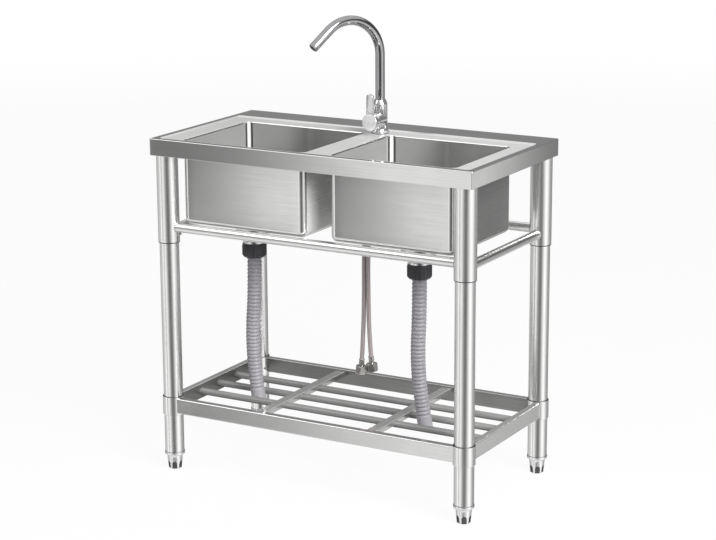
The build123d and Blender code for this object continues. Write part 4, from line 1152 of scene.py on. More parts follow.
# ---------------------------------------------------------------- frame and shelf
@dataclass
class Frame:
    """Four sleeved legs with the upper rails, shelf collars, set screws and weld beads."""

    leg_r: float = 22.5
    leg_bore: float = 21.3
    leg_z: Span = (43.0, 607.0)
    bore: float = 22.65             # of the sleeves and collars
    sleeve_foot: float = 547.0
    sleeve_top: Span = (785.8, 788.8)   # at the front, and at the back
    collar_z: Span = (134.0, 179.0)
    ease: tuple[Span, ...] = ((0.8, 0.0), (0.35, 0.2), (0.0, 0.8))   # of a sleeve's end: inset and rise
    mark: float = 2.2               # width of the painted shade ring at a sleeve's lower end
    # width of the painted shade ring at a collar's upper end
    collar_mark: float = 0.9
    rail_r: float = 11.0
    rail_wall: float = 1.2
    long_z: float = 583.0
    side_z: float = 574.0
    screw_z: Span = (566.0, 150.0)
    screw: tuple[Span, ...] = ((2.3, 0.0), (2.95, 0.6), (2.95, 5.5), (2.5, 6.0))
    socket_flats: float = 2.5
    bead: float = 1.1
    bead_pitch: float = 1.7

    def sleeve(self, low: float, high: float, both_ends: bool) -> list[Span]:
        """Profile of a sleeve with its outer edges eased.

        Args:
            low: Height of its lower end.
            high: Height of its upper end.
            both_ends: Whether the upper edge is eased too.

        Returns:
            Radius and height of each corner.
        """
        foot = [(SLEEVE_R - inset, low + rise) for inset, rise in self.ease] + [(SLEEVE_R, low + self.mark)]
        top = [(SLEEVE_R - inset, high - rise) for inset, rise in reversed(self.ease)]
        return [(self.bore, low)] + foot + (top if both_ends else [(SLEEVE_R, high)]) + [(self.bore, high)]

    def build(self) -> None:
        """Build legs, sleeves, collars, rails, screws and welds."""
        low, high = self.leg_z
        leg = [(self.leg_bore, low), (self.leg_r, low), (self.leg_r, high), (self.leg_bore, high)]
        for corner, at in CORNERS.items():
            top = self.sleeve_top[0 if at[1] < 0 else 1]
            for node, profile in (("leg_tube_", leg),
                                  ("upper_sleeve_", self.sleeve(self.sleeve_foot, top, False)),
                                  ("shelf_collar_", self.sleeve(*self.collar_z, True))):
                rings = turned_rings(profile, Matrix.Translation((*at, 0.0)))
                piece = lofted(node + corner + "_polished", TUBE_STEEL, rings)
                # A dark band at the sleeve's lower end and the collar's upper end: painted shade at the
                # joints.
                if node == "upper_sleeve_":
                    refinish(piece, TUBE_END, lambda at, way: at.z < self.sleeve_foot + self.mark)
                elif node == "shelf_collar_":
                    refinish(piece, TUBE_END, lambda at, way: at.z > self.collar_z[1] - self.collar_mark)
                settle(piece, "tube_steel", node + corner)
        for side in SIDES:
            lengthwise = side in ("front", "back")
            rise = REARWARD * (self.long_z if lengthwise else self.side_z)   # a section's y is upwards
            outer, inner = ([p + rise for p in circle(48, self.rail_r - wall)]
                            for wall in (0.0, self.rail_wall))
            name = f"upper_{side}_rail"
            steel = CROSS_TUBE if lengthwise else SIDE_TUBE
            settle(cross_member(name + "_polished", steel, side, outer, inner), "tube_steel", name)
        self.screws()
        self.welds()

    def screws(self) -> None:
        """Set screws with a hexagon socket, one instance for each sleeve and collar."""
        depth = self.screw[-1][1]
        rings = [[Vector()]] + [circle(24, r, z) for r, z in self.screw]
        rings += [hexagon(24, self.socket_flats, z) for z in (depth, depth - 2.2)] + [[UP * (depth - 2.4)]]
        pattern = lofted("set_screw_pattern", SCREW_STEEL, rings, closed=False)
        points, turns = [], []
        for x, y in CORNERS.values():
            heading = math.atan2(-y, -x)
            foot = Vector((x + self.leg_r * math.cos(heading), y + self.leg_r * math.sin(heading), 0))
            points += [(foot + UP * z) * MM for z in self.screw_z]
            turns += [(0.0, math.pi / 2, heading) for _ in self.screw_z]
        spots = bpy.data.meshes.new("set_screw_spots")
        spots.from_pydata(points, [], [])
        stored = spots.attributes.new("turn", "FLOAT_VECTOR", "POINT")
        for spot, turn in zip(stored.data, turns):
            spot.vector = turn
        graph = ShapeGraph("screws_on_spots", {"Size": 1.0})
        shape = graph.add("GeometryNodeObjectInfo", {"Object": pattern}).outputs["Geometry"]
        turned = graph.add("GeometryNodeInputNamedAttribute", {"Name": "turn"}, data_type="FLOAT_VECTOR")
        placed = graph.add(INSTANCES, {"Points": graph.take["Geometry"], "Instance": shape,
                                       "Rotation": turned, "Scale": graph.take["Size"]})
        mesh = graph.grow(placed, spots, "set_screws_socketed", SCREW_STEEL)
        bpy.data.objects.remove(pattern)
        settle(link_piece(mesh, "set_screws_socketed", SCREW_STEEL), "screw_steel", "set_screws")

    def welds(self) -> None:
        """Weld beads along the joints of the upper rails with the sleeves."""
        corners = CORNERS.values()
        ends = [(RIGHTWARD * -s, (x, y, self.long_z)) for s in (1, -1) for x, y in corners if x * s > 0]
        ends += [(REARWARD * -s, (x, y, self.side_z)) for s in (1, -1) for x, y in corners if y * s > 0]
        points: Ring = []
        edges: list[tuple[int, int]] = []
        for axis, at in ends:
            start, across = len(points), UP.cross(axis)
            for p in circle(40, self.rail_r):
                out = math.sqrt(SLEEVE_R ** 2 - p.x ** 2)
                points.append((Vector(at) + axis * out + across * p.x + UP * p.y) * MM)
            edges += [(start + i, start + (i + 1) % 40) for i in range(40)]
        lines = bpy.data.meshes.new("weld_lines")
        lines.from_pydata(points, edges, [])
        graph = ShapeGraph("beads_on_lines", {"Bead radius": self.bead * MM,
                                              "Bead spacing": self.bead_pitch * MM})
        take = graph.take
        curve = graph.add("GeometryNodeMeshToCurve", {"Mesh": take["Geometry"]})
        spaced = graph.add("GeometryNodeResampleCurve", {"Curve": curve, "Length": take["Bead spacing"]},
                           mode="LENGTH")
        bead = graph.add("GeometryNodeMeshIcoSphere", {"Radius": take["Bead radius"], "Subdivisions": 2})
        size = graph.add("FunctionNodeRandomValue", {2: 0.85, 3: 1.15, "Seed": 7}, data_type="FLOAT")
        placed = graph.add(INSTANCES, {"Points": spaced, "Instance": bead, "Scale": size.outputs[1]})
        mesh = graph.grow(placed, lines, "rail_weld_beads", WELD_STEEL)
        settle(link_piece(mesh, "rail_weld_beads", WELD_STEEL), "tube_steel")


@dataclass
class Shelf:
    """Folded rails between the collars, three round slats and two notched straps over them."""

    rail_z: Span = (139.0, 175.0)
    rail_out: Span = (-3.0, 15.0)   # the rail's faces, outwards from the leg axes
    rail_wall: float = 1.2
    fold: float = 2.5
    slats: int = 3
    slat_r: float = 8.0
    slat_wall: float = 1.0
    slat_z: float = 158.0
    slat_pitch: float = 77.0
    strap_x: float = 145.0
    strap_width: float = 25.0
    strap_z: Span = (160.0, 172.0)
    strap_sheet: float = 1.5
    strap_fold: float = 2.0
    notch_gap: float = 0.05
    notch_steps: int = 16

    def build(self) -> None:
        """Build rails, slats and straps."""
        for side in SIDES:
            self.rail(side, RAIL_STEEL if side in ("front", "back") else SIDE_RAIL)
        self.tubes()
        self.strap("shelf_strap_left", -self.strap_x)
        self.strap("shelf_strap_right", self.strap_x)

    def rail(self, side: str, steel: Metal) -> None:
        """Build one folded rail whose ends follow the collars' round.

        Args:
            side: The side that it runs along.
            steel: Its finish.
        """
        outer, inner = (rounded_rect((self.rail_out[0] + wall, self.rail_out[1] - wall),
                                     (self.rail_z[0] + wall, self.rail_z[1] - wall), self.fold - wall, 0.0, 5)
                        for wall in (0.0, self.rail_wall))
        name = f"shelf_{side}_rail"
        piece = cross_member(name + "_folded", steel, side, outer, inner)
        _, out, _, off = SIDES[side]
        # The rail's inner face gets the darker copy of the strip: painted shade.
        refinish(piece, RAIL_INSIDE, lambda at, way: way.dot(out) < -0.5 and at.dot(out) < off + 1.0)
        settle(weighted(piece), "rail_steel", name)

    def tubes(self) -> None:
        """The slats, instanced across the shelf."""
        graph = ShapeGraph("tubes_across", {
            "Count": self.slats, "Pitch": self.slat_pitch * MM, "Height": self.slat_z * MM,
            "Half length": (LEG_X + self.rail_out[0] + ROOT) * MM, "Radius": self.slat_r * MM,
            "Bore": (self.slat_r - self.slat_wall) * MM})
        take, add = graph.take, graph.add
        ends = [add(AXES, {0: add(MATH, {0: take["Half length"], 1: side}, operation="MULTIPLY")})
                for side in (-1.0, 1.0)]
        line = add("GeometryNodeCurvePrimitiveLine", {"Start": ends[0], "End": ends[1]})
        walls = []
        for label in ("Radius", "Bore"):
            section = add(CIRCLE, {"Radius": take[label], "Resolution": 40})
            walls.append(add(SKIN, {"Curve": line, "Profile Curve": section}))
        first = take["Count"]
        for operation, other in (("SUBTRACT", 1.0), ("MULTIPLY", -0.5), ("MULTIPLY", take["Pitch"])):
            first = add(MATH, {0: first, 1: other}, operation=operation)
        start, step = add(AXES, {1: first, 2: take["Height"]}), add(AXES, {1: take["Pitch"]})
        row = add("GeometryNodeMeshLine", {"Count": take["Count"], "Start Location": start, "Offset": step},
                  mode="OFFSET")
        placed = add(INSTANCES, {"Points": row, "Instance": graph.walled(*walls)})
        # The slats carry a darkened steel: painted shade.
        mesh = graph.grow(placed, bpy.data.meshes.new("slat_base"), "shelf_slats_polished", SLAT_TUBE)
        close_rims(mesh)
        settle(link_piece(mesh, "shelf_slats_polished", SLAT_TUBE), "tube_steel", "shelf_slats")

    def strap(self, name: str, x: float) -> None:
        """Build one inverted channel, notched over the slats.

        Args:
            name: The CAD node.
            x: Its middle.
        """
        end = LEG_Y + self.rail_out[0] + ROOT
        rows = [-self.slat_pitch, 0.0, self.slat_pitch]
        notch = self.slat_r + self.notch_gap
        stations = {row + notch * math.cos(math.pi * k / self.notch_steps)
                    for row in rows for k in range(self.notch_steps + 1)} | {-end, end}
        side, sheet, fold = self.strap_width / 2, self.strap_sheet, self.strap_fold
        low, high = self.strap_z
        turns = [math.pi / 8 * k for k in range(5)]
        arc = [(fold * (1 - math.cos(a)), fold * (1 - math.sin(a))) for a in turns]
        rings = []
        for y in sorted(stations):
            foot = low
            for row in rows:
                if abs(y - row) < notch:
                    foot = max(foot, self.slat_z + math.sqrt(notch ** 2 - (y - row) ** 2))
            left = [(x - side + inset, high - drop) for inset, drop in arc]
            right = [(x + side - inset, high - drop) for inset, drop in reversed(arc)]
            inner = [(x + side - sheet, foot), (x + side - sheet, high - sheet),
                     (x - side + sheet, high - sheet), (x - side + sheet, foot)]
            ring = [(x - side, foot)] + left + right + [(x + side, foot)] + inner
            rings.append([(px, y, pz) for px, pz in ring])
        piece = lofted(name + "_folded", SIDE_RAIL, rings, closed=False, caps=True)
        settle(weighted(piece), "rail_steel", name)


# ---------------------------------------------------------------- drains and supply
@dataclass
class Hose:
    """A hose along a route: the common part of drains and supply hoses."""

    name: str
    route: tuple[Point, ...]

    def __post_init__(self) -> None:
        """Draw the route as a smooth line with the points as its control points, and measure it."""
        self.curve = bpy.data.curves.new("route_" + self.name, "CURVE")
        self.curve.dimensions = "3D"
        spline = self.curve.splines.new("NURBS")
        spline.points.add(len(self.route) - 1)
        for point, at in zip(spline.points, self.route):
            point.co = (*(value * MM for value in at), 1.0)
        spline.order_u = 3
        spline.use_endpoint_u = True
        spline.resolution_u = 48
        source = link(bpy.data.objects.new("line_" + self.name, self.curve.copy()))
        line = plain_mesh(source, "line_" + self.name)
        self.line = [v.co.copy() for v in line.vertices]
        self.length = sum((b - a).length for a, b in zip(self.line, self.line[1:]))

    def tube(self, name: str, finish: Finish, crease: float, bore: float, sizes: dict[str, float]) -> Object:
        """Grow a tube along the route whose radius rises and falls with the distance along it.

        The tube stores the attributes along (mm), around (0 to 1) and groove (0 to 1).

        Args:
            name: Name of the piece.
            finish: Its finish.
            crease: Degrees above which an edge stays sharp.
            bore: Radius of the bore, in metres; 0 closes the tube with flat ends.
            sizes: Steps, sides, radii of ribs and grooves, pitch, neck and the start of the plain cuff.

        Returns:
            The piece.
        """
        graph = ShapeGraph("tube_along_" + self.name, {**sizes, "Bore": bore})
        take, add = graph.take, graph.add
        line = add("GeometryNodeResampleCurve", {"Curve": take["Geometry"], "Count": take["Steps"]},
                   mode="COUNT")
        run = add("GeometryNodeSplineParameter").outputs["Length"]
        crest = run
        for operation, other in (("SUBTRACT", take["Neck"]), ("DIVIDE", take["Pitch"]),
                                 ("MULTIPLY", 2 * math.pi), ("COSINE", 0.0), ("MULTIPLY", 0.5),
                                 ("ADD", 0.5001), ("POWER", 0.5)):
            crest = add(MATH, {0: crest, 1: other}, operation=operation)
        begun = add(MATH, {0: run, 1: take["Neck"]}, operation="GREATER_THAN")
        unended = add(MATH, {0: run, 1: take["Cuff start"]}, operation="LESS_THAN")
        ribbed = add(MATH, {0: begun, 1: unended}, operation="MULTIPLY")
        fall = add(MATH, {0: 1.0, 1: crest}, operation="SUBTRACT")
        depth = add(MATH, {0: ribbed, 1: fall}, operation="MULTIPLY")
        millimetres = add(MATH, {0: run, 1: 1 / MM}, operation="MULTIPLY")
        stored = line
        for label, value in (("groove", depth), ("along", millimetres)):
            stored = add(STORE, {"Geometry": stored, "Name": label, "Value": value}, data_type="FLOAT",
                         domain="POINT")
        rise = add(MATH, {0: take["Rib radius"], 1: take["Groove radius"]}, operation="SUBTRACT")
        drop = add(MATH, {0: depth, 1: rise}, operation="MULTIPLY")
        outside = add(MATH, {0: take["Rib radius"], 1: drop}, operation="SUBTRACT")
        skins = []
        for radius in ((outside, take["Bore"]) if bore else (outside,)):
            share = add(MATH, {0: add("GeometryNodeInputIndex"), 1: take["Sides"]}, operation="DIVIDE")
            section = add(CIRCLE, {"Radius": 1.0, "Resolution": take["Sides"]})
            marked = add(STORE, {"Geometry": section, "Name": "around", "Value": share}, data_type="FLOAT",
                         domain="POINT")
            skins.append(add(SKIN, {"Curve": stored, "Profile Curve": marked, "Scale": radius,
                                    "Fill Caps": not bore}))
        mesh = graph.grow(graph.walled(*skins) if bore else skins[0], self.curve, name, finish)
        if bore:
            close_rims(mesh)
        return link_piece(mesh, name, finish, crease)


@dataclass
class Drain(Hose):
    """One drain: coupling nut with its ribs, and the corrugated hose that hangs from it."""

    hose_r: float = 17.0
    groove_r: float = 15.2
    bore: float = 13.6
    pitch: float = 9.25
    neck: float = 16.0
    cuff: float = 30.0
    flange: float = 3.0             # thickness of the hose's flange inside the nut
    nut_r: float = 27.0
    nut_z: Span = (502.0, 536.0)
    nut_neck: float = 22.05
    ribs: int = 20
    rib_half: float = 1.6
    rib_deep: float = 1.35
    rib_foot: float = 4.0           # from the nut's end to a rib's
    rib_root: float = 1.0
    rib_rise: tuple[Span, ...] = ((0.0, 0.02), (0.7, 0.7), (1.8, 1.0))   # a rib's end: height, share of depth

    def build(self) -> None:
        """Build the hose and the nut."""
        self.hose()
        self.nut()

    def hose(self) -> None:
        """Corrugated hose along the route, with whole ribs between its neck and its cuff."""
        cuff_start = self.length - self.cuff * MM
        ribbed = cuff_start - self.neck * MM
        pitch = ribbed / round(ribbed / (self.pitch * MM))
        node = "drain_hose_" + self.name
        piece = self.tube(node + "_corrugated", HOSE_PVC, 50.0, self.bore * MM, {
            "Steps": 620, "Sides": 40, "Rib radius": self.hose_r * MM, "Groove radius": self.groove_r * MM,
            "Pitch": pitch, "Neck": self.neck * MM, "Cuff start": cuff_start})
        settle(piece, "hose_grey", node)
        x, y, _ = self.route[0]
        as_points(self.line)
        LOG.info("%s: %.1f mm long, pitch %.2f mm", node, self.length / MM, pitch / MM)

    def nut(self) -> None:
        """Turned nut body with rounded grip ribs instanced round it."""
        x, y, top = self.route[0]
        low, high = self.nut_z
        lip = top - self.flange
        gap = self.hose_r + 0.4
        r = self.nut_r
        body = [(gap, low), (r - 3.4, low), (r - 2.6, low + 0.4), (r - 0.6, low + 2.6), (r, low + 3.6),
                (r, high - 1.0), (r - 0.3, high - 0.3), (r - 1.0, high), (self.nut_neck, high),
                (self.nut_neck, lip), (gap, lip)]
        name = "coupling_nut_" + self.name
        rings = turned_rings(body, Matrix.Translation((x, y, 0.0)), 80)
        settle(lofted(name + "_body", BLACK_PP, rings), "black_plastic", "coupling_nuts")
        foot, tall = low + self.rib_foot, high - low - 2 * self.rib_foot
        heights = [*self.rib_rise, *((tall - z, out) for z, out in reversed(self.rib_rise))]
        turns = [math.pi * (i / 8 - 0.5) for i in range(9)]
        half, root = self.rib_half, r - self.rib_root
        rings = []
        for z, out in heights:
            crown = [(r + self.rib_deep * out * math.cos(a), half * math.sin(a), foot + z) for a in turns]
            rings.append(crown + [(root, half, foot + z), (root, -half, foot + z)])
        pattern = lofted("grip_rib_pattern", BLACK_PP, rings, closed=False, caps=True)
        graph = ShapeGraph("ribs_round_axis_" + self.name,
                           {"Count": self.ribs, "Centre X": x * MM, "Centre Y": y * MM})
        take, add = graph.take, graph.add
        shape = add("GeometryNodeObjectInfo", {"Object": pattern}).outputs["Geometry"]
        row = add("GeometryNodeMeshLine", {"Count": take["Count"], "Offset": (0, 0, 0)}, mode="OFFSET")
        share = add(MATH, {0: add("GeometryNodeInputIndex"), 1: take["Count"]}, operation="DIVIDE")
        turn = add(AXES, {2: add(MATH, {0: share, 1: 2 * math.pi}, operation="MULTIPLY")})
        placed = add(INSTANCES, {"Points": row, "Instance": shape, "Rotation": turn})
        real = add("GeometryNodeRealizeInstances", {"Geometry": placed})
        centre = add(AXES, {0: take["Centre X"], 1: take["Centre Y"]})
        moved = add("GeometryNodeTransform", {"Geometry": real, "Translation": centre})
        mesh = graph.grow(moved, bpy.data.meshes.new("rib_base"), name + "_ribs", BLACK_PP)
        bpy.data.objects.remove(pattern)
        settle(link_piece(mesh, name + "_ribs", BLACK_PP), "black_plastic", "coupling_nuts")


@dataclass
class SupplyHose(Hose):
    """Braided supply hose with its crimped ferrule and hexagon union nut."""

    exit_z: float = 745.0
    radius: float = 5.2
    ferrule_r: float = 6.8
    ferrule_length: float = 20.0
    crimp: float = 0.7              # depth of the crimped rings
    collar: Span = (8.7, 3.0)       # radius and thickness
    flats: float = 24.0
    nut_z: Span = (16.0, 36.0)      # along the hose, from its free end
    # The nut's chamfers: distance from its end, and the radius that cuts its corners there.
    chamfer: tuple[Span, ...] = ((0.0, 12.0), (0.5, 12.6), (1.3, 13.3), (2.2, 14.0))
    bore: float = 9.3
    thread: Span = (1.3, 0.45)      # pitch and depth
    threads: int = 8
    seat: Span = (8.9, 23.5)        # radius and height
    shoulder: float = 4.0
    clearance: float = 0.2          # of the nut on the ferrule
    nut_sides: int = 72

    def build(self) -> None:
        node = "supply_hose_" + self.name
        hose = self.tube(node + "_braided", BRAID, 60.0, 0.0, {
            "Steps": 420, "Sides": 24, "Rib radius": self.radius * MM, "Groove radius": self.radius * MM,
            "Pitch": 1.0, "Neck": 0.0, "Cuff start": 0.0})
        settle(hose, "braid_steel", node)
        last, before = Vector(self.route[-1]), Vector(self.route[-2])
        turn = (last - before).to_track_quat("Z", "Y")
        place = Matrix.Translation(last) @ turn.to_matrix().to_4x4()
        r, long, neck = self.ferrule_r, self.ferrule_length, self.ferrule_r - self.crimp
        wide, thick = self.collar
        profile = [(0, -0.5), (self.radius - 0.3, -0.5), (r - 0.5, -0.5), (r, 0.2), (r, 3.0), (neck, 3.8),
                   (neck, 6.2), (r, 7.0), (r, 9.0), (neck, 9.8), (neck, 12.2), (r, 13.0), (r, long),
                   (wide, long), (wide, long + thick), (0, long + thick)]
        ferrule = lofted("supply_ferrule_" + self.name + "_crimped", NUT_NICKEL,
                         turned_rings(profile, place, 40), closed=False)
        settle(ferrule, "nut_chrome", "supply_ferrules")
        nut = self.nut(place)
        x, y, _ = self.route[0]
        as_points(self.line)
        LOG.info("%s: %.1f mm long", node, self.length / MM)

    def nut(self, place: Matrix) -> Object:
        """Hexagon nut with chamfered corners and its threaded bore.

        Args:
            place: The hose's free end, its Z column along the hose.

        Returns:
            The nut.
        """
        low, high = self.nut_z
        ends = [(low + z, limit) for z, limit in self.chamfer]
        ends += [(high - z, limit) for z, limit in reversed(self.chamfer)]
        rings = [[place @ p for p in hexagon(self.nut_sides, self.flats, z, limit)] for z, limit in ends]
        pitch, deep = self.thread
        inside = [(self.bore + 0.8, high), (self.bore, high - 0.8)]
        for k in range(self.threads):
            z = high - 1.2 - pitch * k
            inside += [(self.bore, z), (self.bore + deep, z - deep), (self.bore, z - 2 * deep)]
        seat_r, seat_z = self.seat
        rest, sleeve = low + self.shoulder, self.ferrule_r + self.clearance
        inside += [(self.bore, seat_z), (seat_r, seat_z), (seat_r, rest), (sleeve, rest), (sleeve, low)]
        rings += turned_rings(inside, place, self.nut_sides)
        piece = lofted("union_nut_" + self.name + "_hexagon", NUT_NICKEL, rings, 20.0)
        return settle(piece, "nut_chrome", "union_nuts")


# ---------------------------------------------------------------- mixer
@dataclass
class Mixer:
    """Gooseneck mixer: turned body, bent spout, round cap with its lever."""

    spout_r: float = 10.97
    spout_bore: float = 9.5
    foot_r: float = 13.4
    foot_z: Span = (834.0, 845.5)
    groove: float = 2.1             # depth of the O-ring grooves
    grooves: tuple[Span, ...] = ((1.8, 4.2), (6.8, 9.2))
    heading: float = -117.0
    bend_r: float = 84.0
    bend_z: float = 968.5
    bend: float = 130.0
    tail: float = 55.0
    steps: tuple[int, int, int] = (6, 52, 4)   # along the riser, the bend and the tail
    cap_top: float = 836.0

    def __post_init__(self) -> None:
        """Work out the outlet's direction and the lengths of the riser and the bend."""
        self.ahead = Matrix.Rotation(math.radians(self.heading), 3, "Z") @ RIGHTWARD
        self.riser = self.bend_z - self.foot_z[0]
        self.arc = math.radians(self.bend) * self.bend_r

    def build(self) -> None:
        """Build the spout and dress the rest of the mixer's nodes."""
        self.spout()
        dressed("faucet_body", BODY_CHROME, "tap_chrome", 28.0, 0.35)
        dressed("spout_collar", BODY_CHROME, "tap_chrome", 25.0, 0.4)
        dressed("cartridge_cover", BODY_CHROME, "tap_chrome", 40.0)
        handle = dressed("handle_lever", BODY_CHROME, "tap_chrome", 22.0, 0.3, body="handle")
        # The cap's front face gets the pale matt copy: painted light.
        refinish(handle, CAP_CHROME, lambda at, way: way.y < -0.9 and at.z < self.cap_top)

    def at(self, run: float) -> tuple[Vector, Vector]:
        """Point and in-plane normal of the spout's centreline.

        Args:
            run: Distance along it from the foot.

        Returns:
            The point and the normal that points to the bend's inside.
        """
        base = Vector((*TAP, self.foot_z[0]))
        if run <= self.riser:
            return base + UP * run, self.ahead
        angle = min(run - self.riser, self.arc) / self.bend_r
        out = UP * math.sin(angle) - self.ahead * math.cos(angle)
        tangent = self.ahead * math.sin(angle) + UP * math.cos(angle)
        centre = base + UP * self.riser + self.ahead * self.bend_r
        return centre + out * self.bend_r + tangent * max(run - self.riser - self.arc, 0.0), -out

    def spout(self) -> None:
        """Bent tube with a turned foot, O-ring grooves and an eased outlet."""
        end = self.riser + self.arc + self.tail
        foot = self.foot_z[1] - self.foot_z[0]
        r, f, b = self.spout_r, self.foot_r, self.spout_bore
        stations = [(0.0, f - 0.5), (0.5, f)]
        for low, high in self.grooves:
            stations += [(low, f), (low, f - self.groove), (high, f - self.groove), (high, f)]
        stations += [(foot, f), (foot, r)]
        up, over, down = self.steps
        path = [self.riser * k / up for k in range(1, up + 1)]
        path += [self.riser + self.arc * k / over for k in range(1, over + 1)]
        path = [run for run in path if run > foot + 1]
        path += [self.riser + self.arc + self.tail * k / down for k in range(1, down)]
        stations += [(run, r) for run in path]
        stations += [(end - 0.8, r), (end - 0.25, r - 0.25), (end, r - 0.8), (end, b + 0.3), (end - 0.3, b)]
        stations += [(run, b) for run in reversed(path)] + [(foot, b), (0.0, b)]
        side = self.ahead.cross(UP)
        rings = []
        for run, radius in stations:
            point, normal = self.at(run)
            rings.append([point + normal * p.x + side * p.y for p in circle(48, radius)])
        settle(lofted("spout_gooseneck", TAP_CHROME, rings), "tap_chrome", "spout", body="spout")


# ---------------------------------------------------------------- feet
@dataclass
class Foot:
    """Adjustable foot: arched flutes between its prongs, a flange under the leg, a threaded stud."""

    corner: str
    at: Span
    base_r: float = 15.0
    neck_r: float = 18.0
    neck_z: float = 29.0
    flutes: int = 6
    flute_width: float = 11.5
    flute_top: float = 19.0
    flute_depth: float = 2.4
    flange_top: float = 43.0
    # The flange's profile above the neck.
    flange: tuple[Span, ...] = ((18.3, 34.7), (19.0, 35.0), (22.0, 35.0), (22.7, 35.3), (23.3, 36.1),
                                (23.5, 37.0), (23.5, 42.2), (23.2, 42.7), (22.5, 43.0))
    arch_turns: tuple[int, ...] = (20, 38, 55, 70, 82)   # degrees up a flute's arch
    mark: float = 0.75              # width of the painted shade ring on the flange, under the leg
    stud_r: float = 5.0
    stud_top: float = 82.0
    pitch: float = 1.5
    thread: tuple[Span, ...] = ((0.0, 0.3), (0.6, 0.9), (0.0, 1.4))   # of one turn: depth and height

    def taper(self, z: float) -> float:
        """Radius of the body at one height."""
        return self.base_r + (self.neck_r - self.base_r) * min(z / self.neck_z, 1.0)

    def ring(self, radius: float, z: float, half: float = 0.0, depth: float = 0.0) -> Ring:
        """Outline at one height, set back where the flutes are.

        Args:
            radius: Radius of the prongs.
            z: Height.
            half: Half of a flute's width there.
            depth: How far the flutes are set back.

        Returns:
            The points.
        """
        beta = math.asin(half / radius)
        sector = 2 * math.pi / self.flutes
        points: Ring = []
        for middle in (k * sector for k in range(self.flutes)):
            polar = [(middle - beta, radius)]
            polar += [(middle + beta * (i / 3 - 1), radius - depth) for i in range(7)]
            polar += [(middle + beta + (sector - 2 * beta) * i / 5, radius) for i in range(5)]
            points += [Vector((self.at[0] + r * math.cos(a), self.at[1] + r * math.sin(a), z))
                       for a, r in polar]
        return points

    def build(self) -> None:
        """Build the foot from the floor up."""
        side = self.flute_width / 2
        spring = self.flute_top - side
        heights = [0.7, 4.0, 8.0, spring]
        heights += [spring + side * math.sin(math.radians(turn)) for turn in self.arch_turns]
        rings = [[Vector((*self.at, 0.0))], self.ring(self.base_r - 0.6, 0.0, side, self.flute_depth - 0.6)]
        for z in heights:
            half = side if z <= spring else math.sqrt(side ** 2 - (z - spring) ** 2)
            rings.append(self.ring(self.taper(z), z, half, self.flute_depth))
        top = self.flange_top
        plain = [(self.taper(self.flute_top), self.flute_top), (self.neck_r, self.neck_z),
                 (self.neck_r, 34.0), *self.flange, (self.stud_r, top)]
        for k in range(int((self.stud_top - self.pitch - top) / self.pitch)):
            plain += [(self.stud_r - depth, top + k * self.pitch + rise) for depth, rise in self.thread]
        plain += [(self.stud_r, self.stud_top - 1.0), (self.stud_r - 1.0, self.stud_top)]
        rings += [self.ring(radius, z) for radius, z in plain] + [[Vector((*self.at, self.stud_top))]]
        name = "foot_" + self.corner
        piece = lofted(name + "_fluted", FOOT_CHROME, rings, closed=False)
        centre = Vector((*self.at, 0.0))
        # The flutes' recessed faces get a dark finish: painted shade.
        refinish(piece, FLUTE_METAL, lambda at, way: 0.1 < at.z < self.flute_top - 0.2
                 and (at - centre).to_2d().length < self.taper(at.z) - 0.5)
        # A dark ring on the flange where the leg sits: painted shade at the joint.
        refinish(piece, TUBE_END, lambda at, way: top - self.mark < at.z < top + 0.01)
        settle(piece, "foot_metal", name, body="adjustable_" + name)


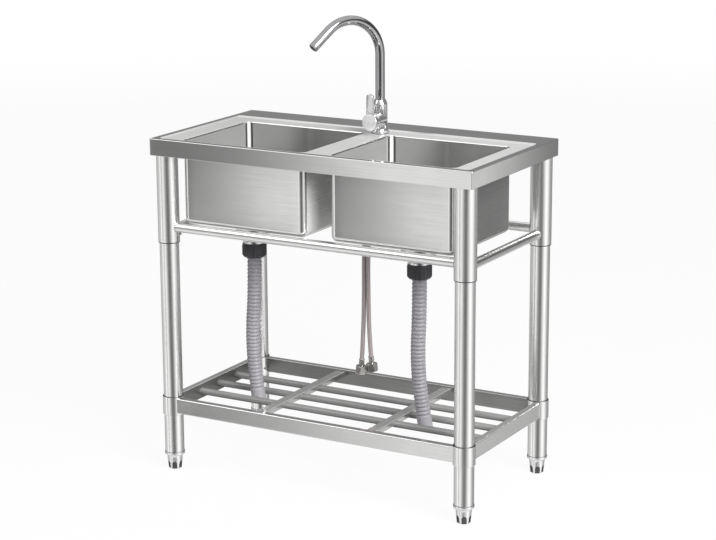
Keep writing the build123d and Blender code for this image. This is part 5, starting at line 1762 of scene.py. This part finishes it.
# ---------------------------------------------------------------- nodes that stay
@dataclass
class SmallParts:
    """The remaining nodes: merged copies where they show, better finishes elsewhere."""

    finishes: dict[str, Finish] = field(default_factory=lambda: {
        "foot_inserts": BLACK_NYLON, "drain_gaskets": RUBBER, "hose_washers": RUBBER, "faucet_gasket": RUBBER,
        "spout_o_rings": RUBBER, "aerator": GREY_PP, "cartridge": ACETAL, "cartridge_turntable": ACETAL,
        "cartridge_stem": BRASS, "faucet_shank": BRASS, "faucet_locknut": BRASS,
        "faucet_washer": WASHER_STEEL})

    def build(self) -> None:
        """Dress strainers and locknuts, and finish the nodes that stay."""
        dressed("strainer_cups", STRAINER_STEEL, "strainer_steel", 28.0, 0.3)
        for side in ("left", "right"):
            dressed("strainer_basket_" + side, STRAINER_STEEL, "strainer_steel", 28.0, body="basket_" + side)
        dressed("drain_locknuts", BLACK_PP, "black_plastic", 28.0)
        for node, finish in self.finishes.items():
            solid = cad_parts[node]
            if not solid.material_slots:
                solid.data.materials.append(None)
            for place in solid.material_slots:
                place.material = finish.material()
            LOG.info("%s: finished as %s", node, finish.name)


# The cords' routes, from the fixed end to the free one; part.py has the same points.
LEFT_ROUTE = ((-232.0, -60.0, 514.0), (-232.0, -60.0, 420.0), (-246.0, -52.0, 318.0), (-247.0, -43.0, 218.0),
              (-237.0, -42.0, 146.0))
RIGHT_ROUTE = ((202.0, -60.0, 514.0), (202.0, -60.0, 420.0), (194.0, -54.0, 322.0), (195.0, -44.0, 232.0),
               (209.0, -42.0, 146.0))
COLD_ROUTE = ((6.4, 104.0, 772.0), (6.4, 104.0, 705.0), (-27.0, 107.0, 612.0), (-35.0, 108.0, 500.0),
              (-34.0, 107.0, 395.0), (-36.0, 105.0, 300.0), (-39.5, 104.0, 238.0))
HOT_ROUTE = ((17.6, 104.0, 772.0), (17.6, 104.0, 705.0), (-15.0, 108.0, 612.0), (-24.0, 108.0, 500.0),
             (-23.0, 107.0, 395.0), (-20.0, 105.0, 305.0), (-14.5, 104.0, 248.0))


def main() -> None:
    """Build the studio, the cords and then every sub-assembly."""
    logging.basicConfig(level=logging.INFO, format="%(name)s: %(message)s")
    parts = [Studio(), Drain("left", LEFT_ROUTE), Drain("right", RIGHT_ROUTE), SupplyHose("cold", COLD_ROUTE),
             SupplyHose("hot", HOT_ROUTE), DeckTop(),
             Bowl("left_bowl", LEFT_X, LEFT_DRAIN, LEFT_BOWL_STEEL, SCOURED_SIDE),
             Bowl("right_bowl", RIGHT_X, RIGHT_DRAIN, RIGHT_BOWL_STEEL, ANNEALED_SIDE), Frame()]
    parts += [Foot(corner, at) for corner, at in CORNERS.items()] + [Shelf(), Mixer(), SmallParts()]
    for part in parts:
        part.build()


if __name__ == "__main__":
    main()
